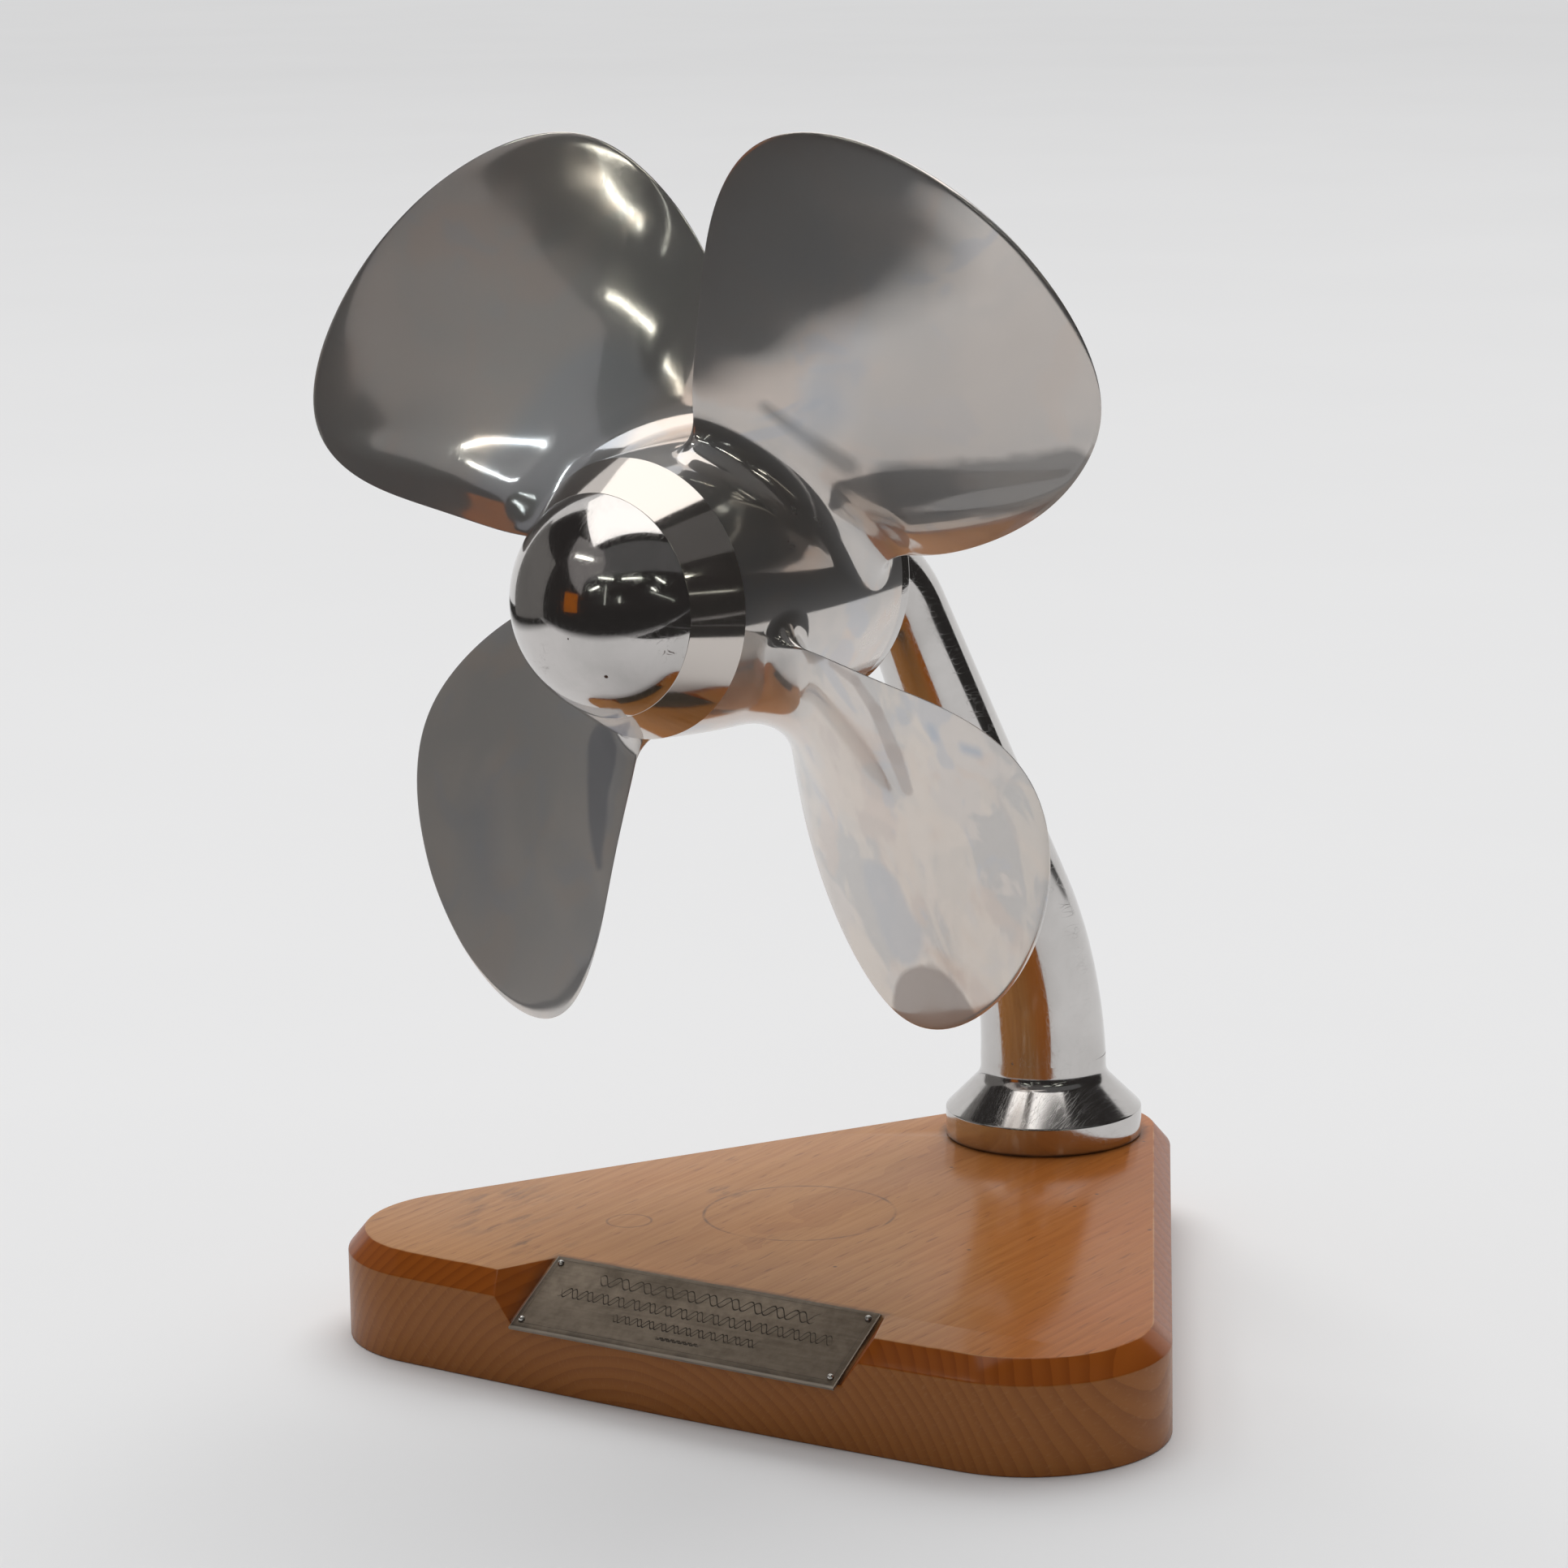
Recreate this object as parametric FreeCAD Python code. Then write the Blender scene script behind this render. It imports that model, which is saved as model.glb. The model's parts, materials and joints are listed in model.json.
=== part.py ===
import FreeCAD, Part
import math
import os

V = FreeCAD.Vector

# ---------------------------------------------------------------- driving dimensions (mm)
# Everything is drawn with +Z up, -Y the way the nose cap points, and the arm's foot on the Z axis.
# save() then moves it so that the origin is the middle of the whole object's footprint.
FOOTPRINT_X = 8.48
FOOTPRINT_Y = -91.86

# propeller and hub
AXIS_Z = 225.2            # height of the shaft line
NOSE_SEAM_Y = -206.6      # joint between nose cap and hub
BAND_END_Y = -193.0       # crease behind the conical band
HUB_REAR_Y = -122.8       # rear face of the casting
COVER_REAR_Y = -119.1     # rear face of the closing plate
SEAM_R = 30.6
BAND_R = 38.5
HUB_MID_R = 40.4
HUB_REAR_R = 38.8
DOME_DEPTH = 20.3
TIP_R = 143.2
BLADES = 4
BLADE_TURN = 43.7         # angle of the first blade above +X, degrees
BLADE_Y = -160.0          # axial place of the blade root middle
PITCH = (233.8, 103.4, -46.3)             # pitch against relative radius, mm per turn
SKEW = (0.162, -0.608, 0.374)             # mid line sweep, radians
HALF_WIDTH = (0.525, 0.731, 0.464, 0.838, 0.537, 1.153)   # Bernstein terms, radians
RAKE = (0.1, -4.2)
EDGE_LIFT = (9.8, -13.2)
ROOT_FILLET = 12.0
ROOT_START_R = 37.0       # the root fillet is full below the hub surface
ROOT_HALF_T = 3.6
TIP_HALF_T = 1.0
EDGE_HALF_T = 0.75
CORE_R = 27.0             # hollow inside the hub
COVER_SPIGOT_R = 31.0

# shaft line
SHAFT_R = 6.0
THREAD_R = 5.0
SHAFT_STUB_R = 5.0
RUN = 0.05                # running clearance, radial
BUSH_R = 8.5
BUSH_FLANGE_R = 12.0
ARM_END_Y = -118.0
SOCKET_DEPTH = 18.0
SHAFT_SHOULDER_Y = -197.55
SHAFT_END_Y = -211.0
NUT_AF = 17.0
NUT_H = 9.5
COTTER_Y = -205.9
CAP_SPIGOT_R = 22.0
CAP_SPIGOT_LEN = 6.6
POCKET_R = 18.0
FRONT_WALL_Y = -196.0
CORE_FRONT_Y = -176.0
CORE_REAR_Y = -130.0

# arm and foot
ARM_FOOT_R = 19.2
ARM_TOP_R = 10.0
BEND_START_Z = 54.2
BEND_R = 109.9
LEAN = 29.6               # degrees from vertical
CROOK_R = 40.3
FLANGE_R = 30.0
FLANGE_RIM_H = 8.6
CONE_HOLLOW_R = 5.8       # the 45 degree cone runs into the arm through this hollow
ARM_SEAT_Z = 57.0
SPIGOT_R = 12.0

# base
BASE_T = 31.6
BASE_TURN = 4.4           # the base sits turned this far about the arm foot, degrees
FRONT_HALF = 91.9         # half distance between the two front corner centres
FRONT_Y = -166.2
FRONT_CORNER_R = 39.1
BACK_Y = 8.4
BACK_CORNER_R = 34.8
FRONT_BOW = 1.75
CHAMFER_H = 6.1
CHAMFER_IN = 5.1
STUD_HOLE_R = 6.5
COUNTERBORE_R = 16.0
COUNTERBORE_H = 16.0

# plaque facet on the front edge
FACET_X = 2.0             # middle of the facet
FACET_HALF = 56.0
FACET_TOP_Y = -183.4
FACET_LOW_Z = 18.1
FRONT_FACE_Y = -207.05
PLAQUE_W = 108.0
PLAQUE_H = 28.6
PLAQUE_T = 1.0
PIN_HEAD_R = 0.95
PIN_R = 0.6

STUD_R = 6.0
DOWEL_R = 2.5
DOWEL_AT = 21.0

HUB = V(0, 0, AXIS_Z)
ALONG_Y = V(0, 1, 0)


# ---------------------------------------------------------------- helpers
def save(node, shape):
    shape.translate(V(-FOOTPRINT_X, -FOOTPRINT_Y, 0))
    shape.exportStep("parts/%s.step" % node)


def rod_y(radius, y0, y1, x=0.0, z=AXIS_Z):
    low = min(y0, y1)
    return Part.makeCylinder(radius, abs(y1 - y0), V(x, low, z), ALONG_Y)


def ring_y(outer, inner, y0, y1):
    return rod_y(outer, y0, y1).cut(rod_y(inner, y0, y1))


def rod_z(radius, z0, z1, x=0.0, y=0.0):
    return Part.makeCylinder(radius, z1 - z0, V(x, y, z0))


def revolve_y(profile):
    """Solid of revolution about the shaft line; profile is a closed list of (y, r)."""
    points = [V(0, y, AXIS_Z + r) for y, r in profile]
    wire = Part.makePolygon(points + [points[0]])
    return Part.Face(wire).revolve(HUB, ALONG_Y, 360)


def hexagon_prism(across_flats, height):
    radius = across_flats / math.sqrt(3)
    corners = []
    for i in range(7):
        a = math.radians(60 * i)
        corners.append(V(radius * math.cos(a), radius * math.sin(a), 0))
    return Part.Face(Part.makePolygon(corners)).extrude(V(0, 0, height))


def turned_nut(across_flats, height):
    """Hexagon with both ends eased by a 30 degree cone."""
    corner = across_flats / math.sqrt(3)
    ease = (corner - across_flats / 2) * 0.6
    blank = Part.makeCylinder(corner + 0.05, height)
    edges = [e for e in blank.Edges if e.Curve.TypeId == "Part::GeomCircle"]
    blank = blank.makeChamfer(ease, edges)
    return hexagon_prism(across_flats, height).common(blank)


# ---------------------------------------------------------------- propeller blades
def bernstein(terms, t):
    n = len(terms) - 1
    total = 0.0
    for i, value in enumerate(terms):
        total += value * math.comb(n, i) * t ** i * (1 - t) ** (n - i)
    return total


def fillet_flare(depth):
    """How far a round root fillet stands out at this height above the hub."""
    d = max(0.0, min(1.0, depth / ROOT_FILLET))
    return ROOT_FILLET * (1 - math.sqrt(1 - (1 - d) ** 2))


def blade_mid(radius, delta):
    """Point of the blade middle surface at a radius and an angle from its mid line."""
    t = max(0.0, (radius - HUB_REAR_R) / (TIP_R - HUB_REAR_R))
    lead = (PITCH[0] + PITCH[1] * t + PITCH[2] * t * t) / (2 * math.pi)
    sweep = SKEW[0] * t + SKEW[1] * t ** 2 + SKEW[2] * t ** 3
    angle = math.radians(BLADE_TURN) - sweep - delta
    y = BLADE_Y + RAKE[0] * t + RAKE[1] * t * t + lead * delta
    y += (EDGE_LIFT[0] + EDGE_LIFT[1] * t) * delta * delta
    return V(radius * math.cos(angle), y, AXIS_Z + radius * math.sin(angle))


def half_width(radius):
    t = max(0.0, (radius - HUB_REAR_R) / (TIP_R - HUB_REAR_R))
    return math.sqrt(max(0.0, 1 - t * t)) * bernstein(HALF_WIDTH, t)


def half_thickness(radius, u):
    t = max(0.0, (radius - HUB_REAR_R) / (TIP_R - HUB_REAR_R))
    middle = ROOT_HALF_T + (TIP_HALF_T - ROOT_HALF_T) * math.sqrt(t)
    edge = EDGE_HALF_T
    return edge * math.sqrt(max(0.0, 1 - u ** 6)) + (middle - edge) * (1 - u * u)


def blade_section(radius, count):
    """Closed ring of points round the blade at one radius."""
    width = half_width(radius)
    flare = fillet_flare(radius - ROOT_START_R)
    chord = V(blade_mid(radius, 0.01)) - blade_mid(radius, -0.01)
    reach = flare / (chord.Length / 0.02)
    points = []
    for i in range(count):
        a = 2 * math.pi * i / count
        u = -math.cos(a)
        side = 1.0 if math.sin(a) >= 0 else -1.0
        delta = u * (width + reach)
        here = blade_mid(radius, delta)
        across = blade_mid(radius, delta + 0.002) - blade_mid(radius, delta - 0.002)
        outward = blade_mid(radius + 0.1, delta) - blade_mid(max(radius - 0.1, 1), delta)
        normal = across.cross(outward)
        normal.normalize()
        offset = half_thickness(radius, u) + flare * abs(math.sin(a))
        points.append(here + normal * (side * offset))
    return points


def flatten(points):
    """Lay a ring of points on the plane across the mean blade direction."""
    centre = V(0, 0, 0)
    for p in points:
        centre += p
    centre = centre * (1.0 / len(points))
    axis = V(centre.x, 0, centre.z - AXIS_Z)
    axis.normalize()
    return [p - axis * (p - centre).dot(axis) for p in points]


def blade_radii():
    radii = [28.0, 33.0]
    radii += [ROOT_START_R + ROOT_FILLET * f for f in (0.0, 0.1, 0.22, 0.38, 0.58, 0.8, 1.05)]
    start = radii[-1]
    steps = 11
    for i in range(1, steps + 1):
        radii.append(start + (TIP_R - 0.06 - start) * math.sin(math.pi / 2 * i / steps))
    return radii


def blade():
    count = 32
    rows = [blade_section(r, count) for r in blade_radii()]
    rows[0] = flatten(rows[0])
    rows[-1] = flatten(rows[-1])
    rows = [row + [row[0]] for row in rows]
    skin = Part.BSplineSurface()
    skin.interpolate(rows)
    side = skin.toShape()
    u0, u1, v0, v1 = skin.bounds()
    faces = [side]
    for u in (u0, u1):
        edge = skin.uIso(u).toShape()
        faces.append(Part.Face(Part.Wire([edge])))
    shell = Part.makeShell(faces)
    shell.sewShape()
    solid = Part.makeSolid(shell)
    if solid.Volume < 0:
        solid.reverse()
    return solid


def hub_body():
    profile = [V(0, NOSE_SEAM_Y, AXIS_Z), V(0, NOSE_SEAM_Y, AXIS_Z + SEAM_R),
               V(0, BAND_END_Y, AXIS_Z + BAND_R)]
    middle = V(0, (BAND_END_Y + HUB_REAR_Y) / 2, AXIS_Z + HUB_MID_R)
    rear = V(0, HUB_REAR_Y, AXIS_Z + HUB_REAR_R)
    barrel = Part.Arc(profile[2], middle, rear).toShape()
    edges = [Part.makeLine(profile[0], profile[1]), Part.makeLine(profile[1], profile[2]), barrel,
             Part.makeLine(rear, V(0, HUB_REAR_Y, AXIS_Z)),
             Part.makeLine(V(0, HUB_REAR_Y, AXIS_Z), profile[0])]
    return Part.Face(Part.Wire(edges)).revolve(HUB, ALONG_Y, 360)


def propeller():
    body = hub_body()
    first = blade()
    for i in range(BLADES):
        turned = first.copy()
        turned.rotate(HUB, ALONG_Y, 360.0 * i / BLADES)
        body = body.fuse(turned)
    hollows = [rod_y(CORE_R, CORE_FRONT_Y, CORE_REAR_Y),
               rod_y(COVER_SPIGOT_R, CORE_REAR_Y, HUB_REAR_Y + 1),
               rod_y(BUSH_R, FRONT_WALL_Y, CORE_FRONT_Y),
               rod_y(POCKET_R, NOSE_SEAM_Y - 1, FRONT_WALL_Y),
               rod_y(CAP_SPIGOT_R, NOSE_SEAM_Y - 1, NOSE_SEAM_Y + CAP_SPIGOT_LEN)]
    for hollow in hollows:
        body = body.cut(hollow)
    return body


# ---------------------------------------------------------------- parts that turn with the propeller
def nose_cap():
    sphere_r = (SEAM_R ** 2 + DOME_DEPTH ** 2) / (2 * DOME_DEPTH)
    centre = V(0, NOSE_SEAM_Y - DOME_DEPTH + sphere_r, AXIS_Z)
    ball = Part.makeSphere(sphere_r, centre)
    dome = ball.common(rod_y(SEAM_R + 2, NOSE_SEAM_Y - DOME_DEPTH - 2, NOSE_SEAM_Y))
    cap = dome.fuse(rod_y(CAP_SPIGOT_R, NOSE_SEAM_Y, NOSE_SEAM_Y + CAP_SPIGOT_LEN))
    hollow = rod_y(15.0, NOSE_SEAM_Y - 8.4, NOSE_SEAM_Y + CAP_SPIGOT_LEN)
    return cap.cut(hollow)


def rear_cover():
    plate = rod_y(HUB_REAR_R, HUB_REAR_Y, COVER_REAR_Y)
    plate = plate.fuse(rod_y(COVER_SPIGOT_R, CORE_REAR_Y, HUB_REAR_Y))
    plate = plate.fuse(rod_y(13.5, CORE_REAR_Y - 10, CORE_REAR_Y))
    plate = plate.cut(rod_y(BUSH_R, CORE_REAR_Y - 11, COVER_REAR_Y + 1))
    return plate.cut(rod_y(BUSH_FLANGE_R, COVER_REAR_Y - 1.5, COVER_REAR_Y + 1))


def flanged_bush(y_flange, y_step, y_end):
    bush = rod_y(BUSH_FLANGE_R, y_flange, y_step).fuse(rod_y(BUSH_R, y_step, y_end))
    low = min(y_flange, y_end) - 1
    high = max(y_flange, y_end) + 1
    return bush.cut(rod_y(SHAFT_R + RUN, low, high))


# ---------------------------------------------------------------- shaft line on the stand
def shaft():
    bar = rod_y(SHAFT_STUB_R, ARM_END_Y, ARM_END_Y + SOCKET_DEPTH)
    bar = bar.fuse(rod_y(SHAFT_R, SHAFT_SHOULDER_Y, ARM_END_Y))
    tip = rod_y(THREAD_R, SHAFT_END_Y, SHAFT_SHOULDER_Y)
    end = [e for e in tip.Edges if abs(e.CenterOfMass.y - SHAFT_END_Y) < 0.01]
    bar = bar.fuse(tip.makeChamfer(0.8, end[:1]))
    bar = bar.cut(Part.makeCylinder(1.5, 30, V(0, ARM_END_Y + 7, AXIS_Z - 15)))
    return bar.cut(Part.makeCylinder(1.05, 30, V(-15, COTTER_Y, AXIS_Z), V(1, 0, 0)))


def shaft_pin():
    return Part.makeCylinder(1.5, 17.0, V(0, ARM_END_Y + 7, AXIS_Z - 8.5))


def slotted_nut():
    nut = turned_nut(NUT_AF, NUT_H)
    nut = nut.cut(Part.makeCylinder(THREAD_R + 0.02, NUT_H + 2, V(0, 0, -1)))
    for i in range(3):
        slot = Part.makeBox(30, 2.4, 3.9, V(-15, -1.2, NUT_H - 3.9))
        slot.rotate(V(0, 0, 0), V(0, 0, 1), 60 * i)
        nut = nut.cut(slot)
    nut.rotate(V(0, 0, 0), V(1, 0, 0), 90)
    nut.translate(V(0, SHAFT_SHOULDER_Y - 1.0, AXIS_Z))
    return nut


def cotter_pin():
    body = Part.makeCylinder(0.95, 21.0, V(-10.5, COTTER_Y, AXIS_Z), V(1, 0, 0))
    head = Part.makeTorus(1.9, 0.9, V(-11.4, COTTER_Y, AXIS_Z), V(0, 1, 0))
    leg = Part.makeCylinder(0.6, 4.0, V(10.3, COTTER_Y, AXIS_Z - 4.2))
    other = Part.makeCylinder(0.6, 4.0, V(10.3, COTTER_Y, AXIS_Z + 0.2))
    return body.fuse([head, leg, other])


# ---------------------------------------------------------------- arm and foot
def arm_path():
    """Centre line as (y, z, angle from vertical) from the foot to the shaft."""
    lean = math.radians(LEAN)
    path = [(0.0, ARM_SEAT_Z, 0.0)]
    start = math.asin((ARM_SEAT_Z - BEND_START_Z) / BEND_R)
    steps = 6
    for i in range(1, steps + 1):
        a = start + (lean - start) * i / steps
        path.append((-BEND_R * (1 - math.cos(a)), BEND_START_Z + BEND_R * math.sin(a), a))
    y, z, a = path[-1]
    rise = CROOK_R * (1 - math.sin(lean))
    length = (AXIS_Z - rise - z) / math.cos(lean)
    for i in range(1, steps + 1):
        part = length * i / steps
        path.append((y - part * math.sin(lean), z + part * math.cos(lean), lean))
    y, z, a = path[-1]
    for i in range(1, steps + 1):
        b = lean + (math.pi / 2 - lean) * i / steps
        path.append((y - CROOK_R * (math.cos(lean) - math.cos(b)),
                     z + CROOK_R * (math.sin(b) - math.sin(lean)), b))
    path.append(((path[-1][0] + ARM_END_Y) / 2, AXIS_Z, math.pi / 2))
    path.append((ARM_END_Y, AXIS_Z, math.pi / 2))
    return path


def arm():
    path = arm_path()
    run = [0.0]
    for a, b in zip(path, path[1:]):
        run.append(run[-1] + math.hypot(b[0] - a[0], b[1] - a[1]))
    rings = []
    for (y, z, a), s in zip(path, run):
        radius = ARM_FOOT_R + (ARM_TOP_R - ARM_FOOT_R) * s / run[-1]
        circle = Part.Circle(V(0, y, z), V(0, -math.sin(a), math.cos(a)), radius)
        rings.append(Part.Wire([circle.toShape()]))
    bar = Part.makeLoft(rings, True, False)
    bar = bar.fuse(rod_z(SPIGOT_R, BASE_T + 1, ARM_SEAT_Z + 1))
    bar = bar.cut(rod_z(STUD_R, BASE_T, 74))
    bar = bar.cut(rod_y(SHAFT_STUB_R, ARM_END_Y - 1, ARM_END_Y + SOCKET_DEPTH))
    return bar.cut(Part.makeCylinder(1.5, 17.0, V(0, ARM_END_Y + 7, AXIS_Z - 8.5)))


def foot_flange():
    rim_z = BASE_T + FLANGE_RIM_H
    eighth = CONE_HOLLOW_R * math.sin(math.radians(45))
    cone_top_r = ARM_FOOT_R + CONE_HOLLOW_R - eighth
    cone_top_z = rim_z + FLANGE_R - cone_top_r
    hollow_z = cone_top_z + eighth
    middle = math.radians(22.5)
    points = [V(SPIGOT_R, 0, BASE_T), V(FLANGE_R - 0.4, 0, BASE_T), V(FLANGE_R, 0, BASE_T + 0.4),
              V(FLANGE_R, 0, rim_z), V(cone_top_r, 0, cone_top_z)]
    hollow_mid = V(ARM_FOOT_R + CONE_HOLLOW_R * (1 - math.cos(middle)), 0,
                   hollow_z - CONE_HOLLOW_R * math.sin(middle))
    hollow_end = V(ARM_FOOT_R, 0, hollow_z)
    top = [hollow_end, V(ARM_FOOT_R, 0, ARM_SEAT_Z), V(SPIGOT_R, 0, ARM_SEAT_Z), points[0]]
    edges = [Part.makeLine(a, b) for a, b in zip(points, points[1:])]
    edges.append(Part.Arc(points[-1], hollow_mid, hollow_end).toShape())
    edges += [Part.makeLine(a, b) for a, b in zip(top, top[1:])]
    body = Part.Face(Part.Wire(edges)).revolve(V(0, 0, 0), V(0, 0, 1), 360)
    for x in (-DOWEL_AT, DOWEL_AT):
        body = body.cut(rod_z(DOWEL_R, BASE_T - 1, BASE_T + 8.5, x))
    return body


def foot_dowels():
    pins = [rod_z(DOWEL_R, BASE_T - 12, BASE_T + 8, x) for x in (-DOWEL_AT, DOWEL_AT)]
    return Part.makeCompound(pins)


def foot_stud():
    stud = rod_z(STUD_R, 1.2, 72)
    ends = [e for e in stud.Edges if e.Curve.TypeId == "Part::GeomCircle"]
    return stud.makeChamfer(0.9, ends)


def foot_nut():
    nut = turned_nut(19.0, 9.6)
    nut = nut.cut(Part.makeCylinder(STUD_R + 0.02, 12, V(0, 0, -1)))
    nut.translate(V(0, 0, 0.6))
    return nut


def foot_lock_washer():
    ring = rod_z(10.4, 10.2, 13.2).cut(rod_z(STUD_R + 0.3, 9, 14))
    gap = Part.makeBox(12, 1.6, 6, V(4, -0.8, 8.7))
    gap.rotate(V(10, 0, 11.7), V(1, 0, 0), 25)
    return ring.cut(gap)


def foot_washer():
    return rod_z(14.5, 13.2, COUNTERBORE_H).cut(rod_z(STUD_R + 0.4, 12, 17))


# ---------------------------------------------------------------- base and plaque
def base_outline(inset, z):
    """Rounded triangle: two front corners, one back corner, front side slightly bowed."""
    centres = [V(-FRONT_HALF, FRONT_Y, z), V(FRONT_HALF, FRONT_Y, z), V(0, BACK_Y, z)]
    radii = [FRONT_CORNER_R - inset, FRONT_CORNER_R - inset, BACK_CORNER_R - inset]
    tangents = []
    for i in range(3):
        j = (i + 1) % 3
        span = centres[j] - centres[i]
        e = V(span).normalize()
        s = (radii[i] - radii[j]) / span.Length
        n = V(e.y, -e.x, 0) * math.sqrt(1 - s * s) + e * s
        tangents.append((centres[i] + n * radii[i], centres[j] + n * radii[j], n))
    edges = []
    for i in range(3):
        start, end, n = tangents[i]
        nxt = tangents[(i + 1) % 3]
        if i == 0:
            top = (start + end) * 0.5 + n * FRONT_BOW
            edges.append(Part.Arc(start, top, end).toShape())
        else:
            edges.append(Part.makeLine(start, end))
        corner = centres[(i + 1) % 3]
        middle = n + nxt[2]
        middle.normalize()
        through = corner + middle * radii[(i + 1) % 3]
        edges.append(Part.Arc(end, through, nxt[0]).toShape())
    return Part.Wire(edges)


def facet_tool():
    """Wedge that cuts the sloping plaque seat, with oblique ends."""
    y_top = FACET_TOP_Y
    slope = (BASE_T - FACET_LOW_Z) / (FACET_TOP_Y - FRONT_FACE_Y)
    y_out = FRONT_FACE_Y - 8
    z_out = FACET_LOW_Z - 8 * slope
    z_up = BASE_T + 6
    y_up = y_top + 6 / slope
    rows = []
    for y, z, spread in ((y_up, z_up, 0.0), (y_out, z_out, 0.0), (y_out, z_up, 0.0)):
        depth = z - (BASE_T - (y_top - y) * slope)
        half = FACET_HALF - 1.0 + depth * 0.75
        rows.append((V(FACET_X - half, y, z), V(FACET_X + half, y, z)))
    left = Part.Face(Part.makePolygon([r[0] for r in rows] + [rows[0][0]]))
    right = Part.Face(Part.makePolygon([r[1] for r in rows] + [rows[0][1]]))
    sides = []
    for a, b in ((0, 1), (1, 2), (2, 0)):
        loop = [rows[a][0], rows[b][0], rows[b][1], rows[a][1], rows[a][0]]
        sides.append(Part.Face(Part.makePolygon(loop)))
    solid = Part.makeSolid(Part.makeShell([left, right] + sides))
    if solid.Volume < 0:
        solid.reverse()
    return solid


def turn_base(shape):
    shape.rotate(V(0, 0, 0), V(0, 0, 1), BASE_TURN)
    return shape


def base_block():
    lower = Part.Face(base_outline(0, 0)).extrude(V(0, 0, BASE_T - CHAMFER_H))
    upper = Part.makeLoft([base_outline(0, BASE_T - CHAMFER_H), base_outline(CHAMFER_IN, BASE_T)], True, True)
    block = lower.fuse(upper).removeSplitter()
    block = block.cut(facet_tool())
    for x, up in pin_places():
        block = block.cut(pin_shank(x, up))
    block = turn_base(block)
    block = block.cut(rod_z(STUD_HOLE_R, -1, BASE_T + 1))
    block = block.cut(rod_z(COUNTERBORE_R, -1, COUNTERBORE_H))
    for x in (-DOWEL_AT, DOWEL_AT):
        block = block.cut(rod_z(DOWEL_R, BASE_T - 12.5, BASE_T + 1, x))
    return block


def facet_angle():
    return math.degrees(math.atan2(BASE_T - FACET_LOW_Z, FACET_TOP_Y - FRONT_FACE_Y))


def on_facet(shape):
    """Move a shape drawn flat (X across, Y up the slope, Z out of it) onto the facet."""
    shape.rotate(V(0, 0, 0), V(1, 0, 0), facet_angle())
    shape.translate(V(FACET_X, FACET_TOP_Y, BASE_T))
    return shape


def pin_places():
    places = []
    for x in (-PLAQUE_W / 2 + 2.6, PLAQUE_W / 2 - 2.6):
        for up in (-2.8, -PLAQUE_H + 3.4):
            places.append((x, up))
    return places


def pin_shank(x, up):
    return on_facet(Part.makeCylinder(PIN_R, 10.0, V(x, up, -10.0)))


def plaque():
    plate = Part.makeBox(PLAQUE_W, PLAQUE_H, PLAQUE_T, V(-PLAQUE_W / 2, -PLAQUE_H - 0.2, 0))
    for x, up in pin_places():
        plate = plate.cut(Part.makeCylinder(PIN_R, 3, V(x, up, -1)))
    return turn_base(on_facet(plate))


def plaque_pins():
    pins = []
    for x, up in pin_places():
        shank = Part.makeCylinder(PIN_R, 10.0 + PLAQUE_T, V(x, up, -10.0))
        head = Part.makeSphere(PIN_HEAD_R, V(x, up, PLAQUE_T), V(0, 0, 1), 0, 90, 360)
        pins.append(turn_base(on_facet(shank.fuse(head))))
    return Part.makeCompound(pins)


# ---------------------------------------------------------------- write everything
os.makedirs("parts", exist_ok=True)
save("propeller", propeller())
save("nose_cap", nose_cap())
save("rear_cover", rear_cover())
save("bush_rear", flanged_bush(COVER_REAR_Y + 0.02, COVER_REAR_Y - 1.5, CORE_REAR_Y - 10))
save("bush_front", flanged_bush(FRONT_WALL_Y - 1.45, FRONT_WALL_Y, CORE_FRONT_Y))
save("thrust_washer_rear", ring_y(12.5, SHAFT_R + 0.04, ARM_END_Y - 1.0, ARM_END_Y))
save("thrust_washer_front", ring_y(10.5, THREAD_R + 0.04, SHAFT_SHOULDER_Y - 1.0, SHAFT_SHOULDER_Y))
save("shaft", shaft())
save("shaft_pin", shaft_pin())
save("shaft_nut", slotted_nut())
save("cotter_pin", cotter_pin())
save("arm", arm())
save("foot_flange", foot_flange())
save("foot_dowels", foot_dowels())
save("foot_stud", foot_stud())
save("foot_nut", foot_nut())
save("foot_lock_washer", foot_lock_washer())
save("foot_washer", foot_washer())
save("base_block", base_block())
save("plaque", plaque())
save("plaque_pins", plaque_pins())
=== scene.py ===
"""Looks of a boat propeller on its display stand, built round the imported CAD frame.

Lengths in the shape functions are millimetres. The hub is drawn round its own axis, with y
measured from the nose seam, and the board is drawn round the arm's foot before it is turned.
"""

import itertools
import json
import math

import bmesh
import bpy
import numpy as np
from mathutils import Matrix, Vector, geometry, noise


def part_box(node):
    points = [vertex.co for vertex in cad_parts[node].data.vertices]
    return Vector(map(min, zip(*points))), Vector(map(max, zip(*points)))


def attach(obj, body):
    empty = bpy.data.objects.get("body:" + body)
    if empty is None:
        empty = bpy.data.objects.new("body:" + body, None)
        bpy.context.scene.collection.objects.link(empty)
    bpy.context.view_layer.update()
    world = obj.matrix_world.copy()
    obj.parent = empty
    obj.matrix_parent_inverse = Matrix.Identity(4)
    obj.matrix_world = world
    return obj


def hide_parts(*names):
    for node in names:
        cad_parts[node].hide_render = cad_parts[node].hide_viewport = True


MM = 0.001

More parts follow.
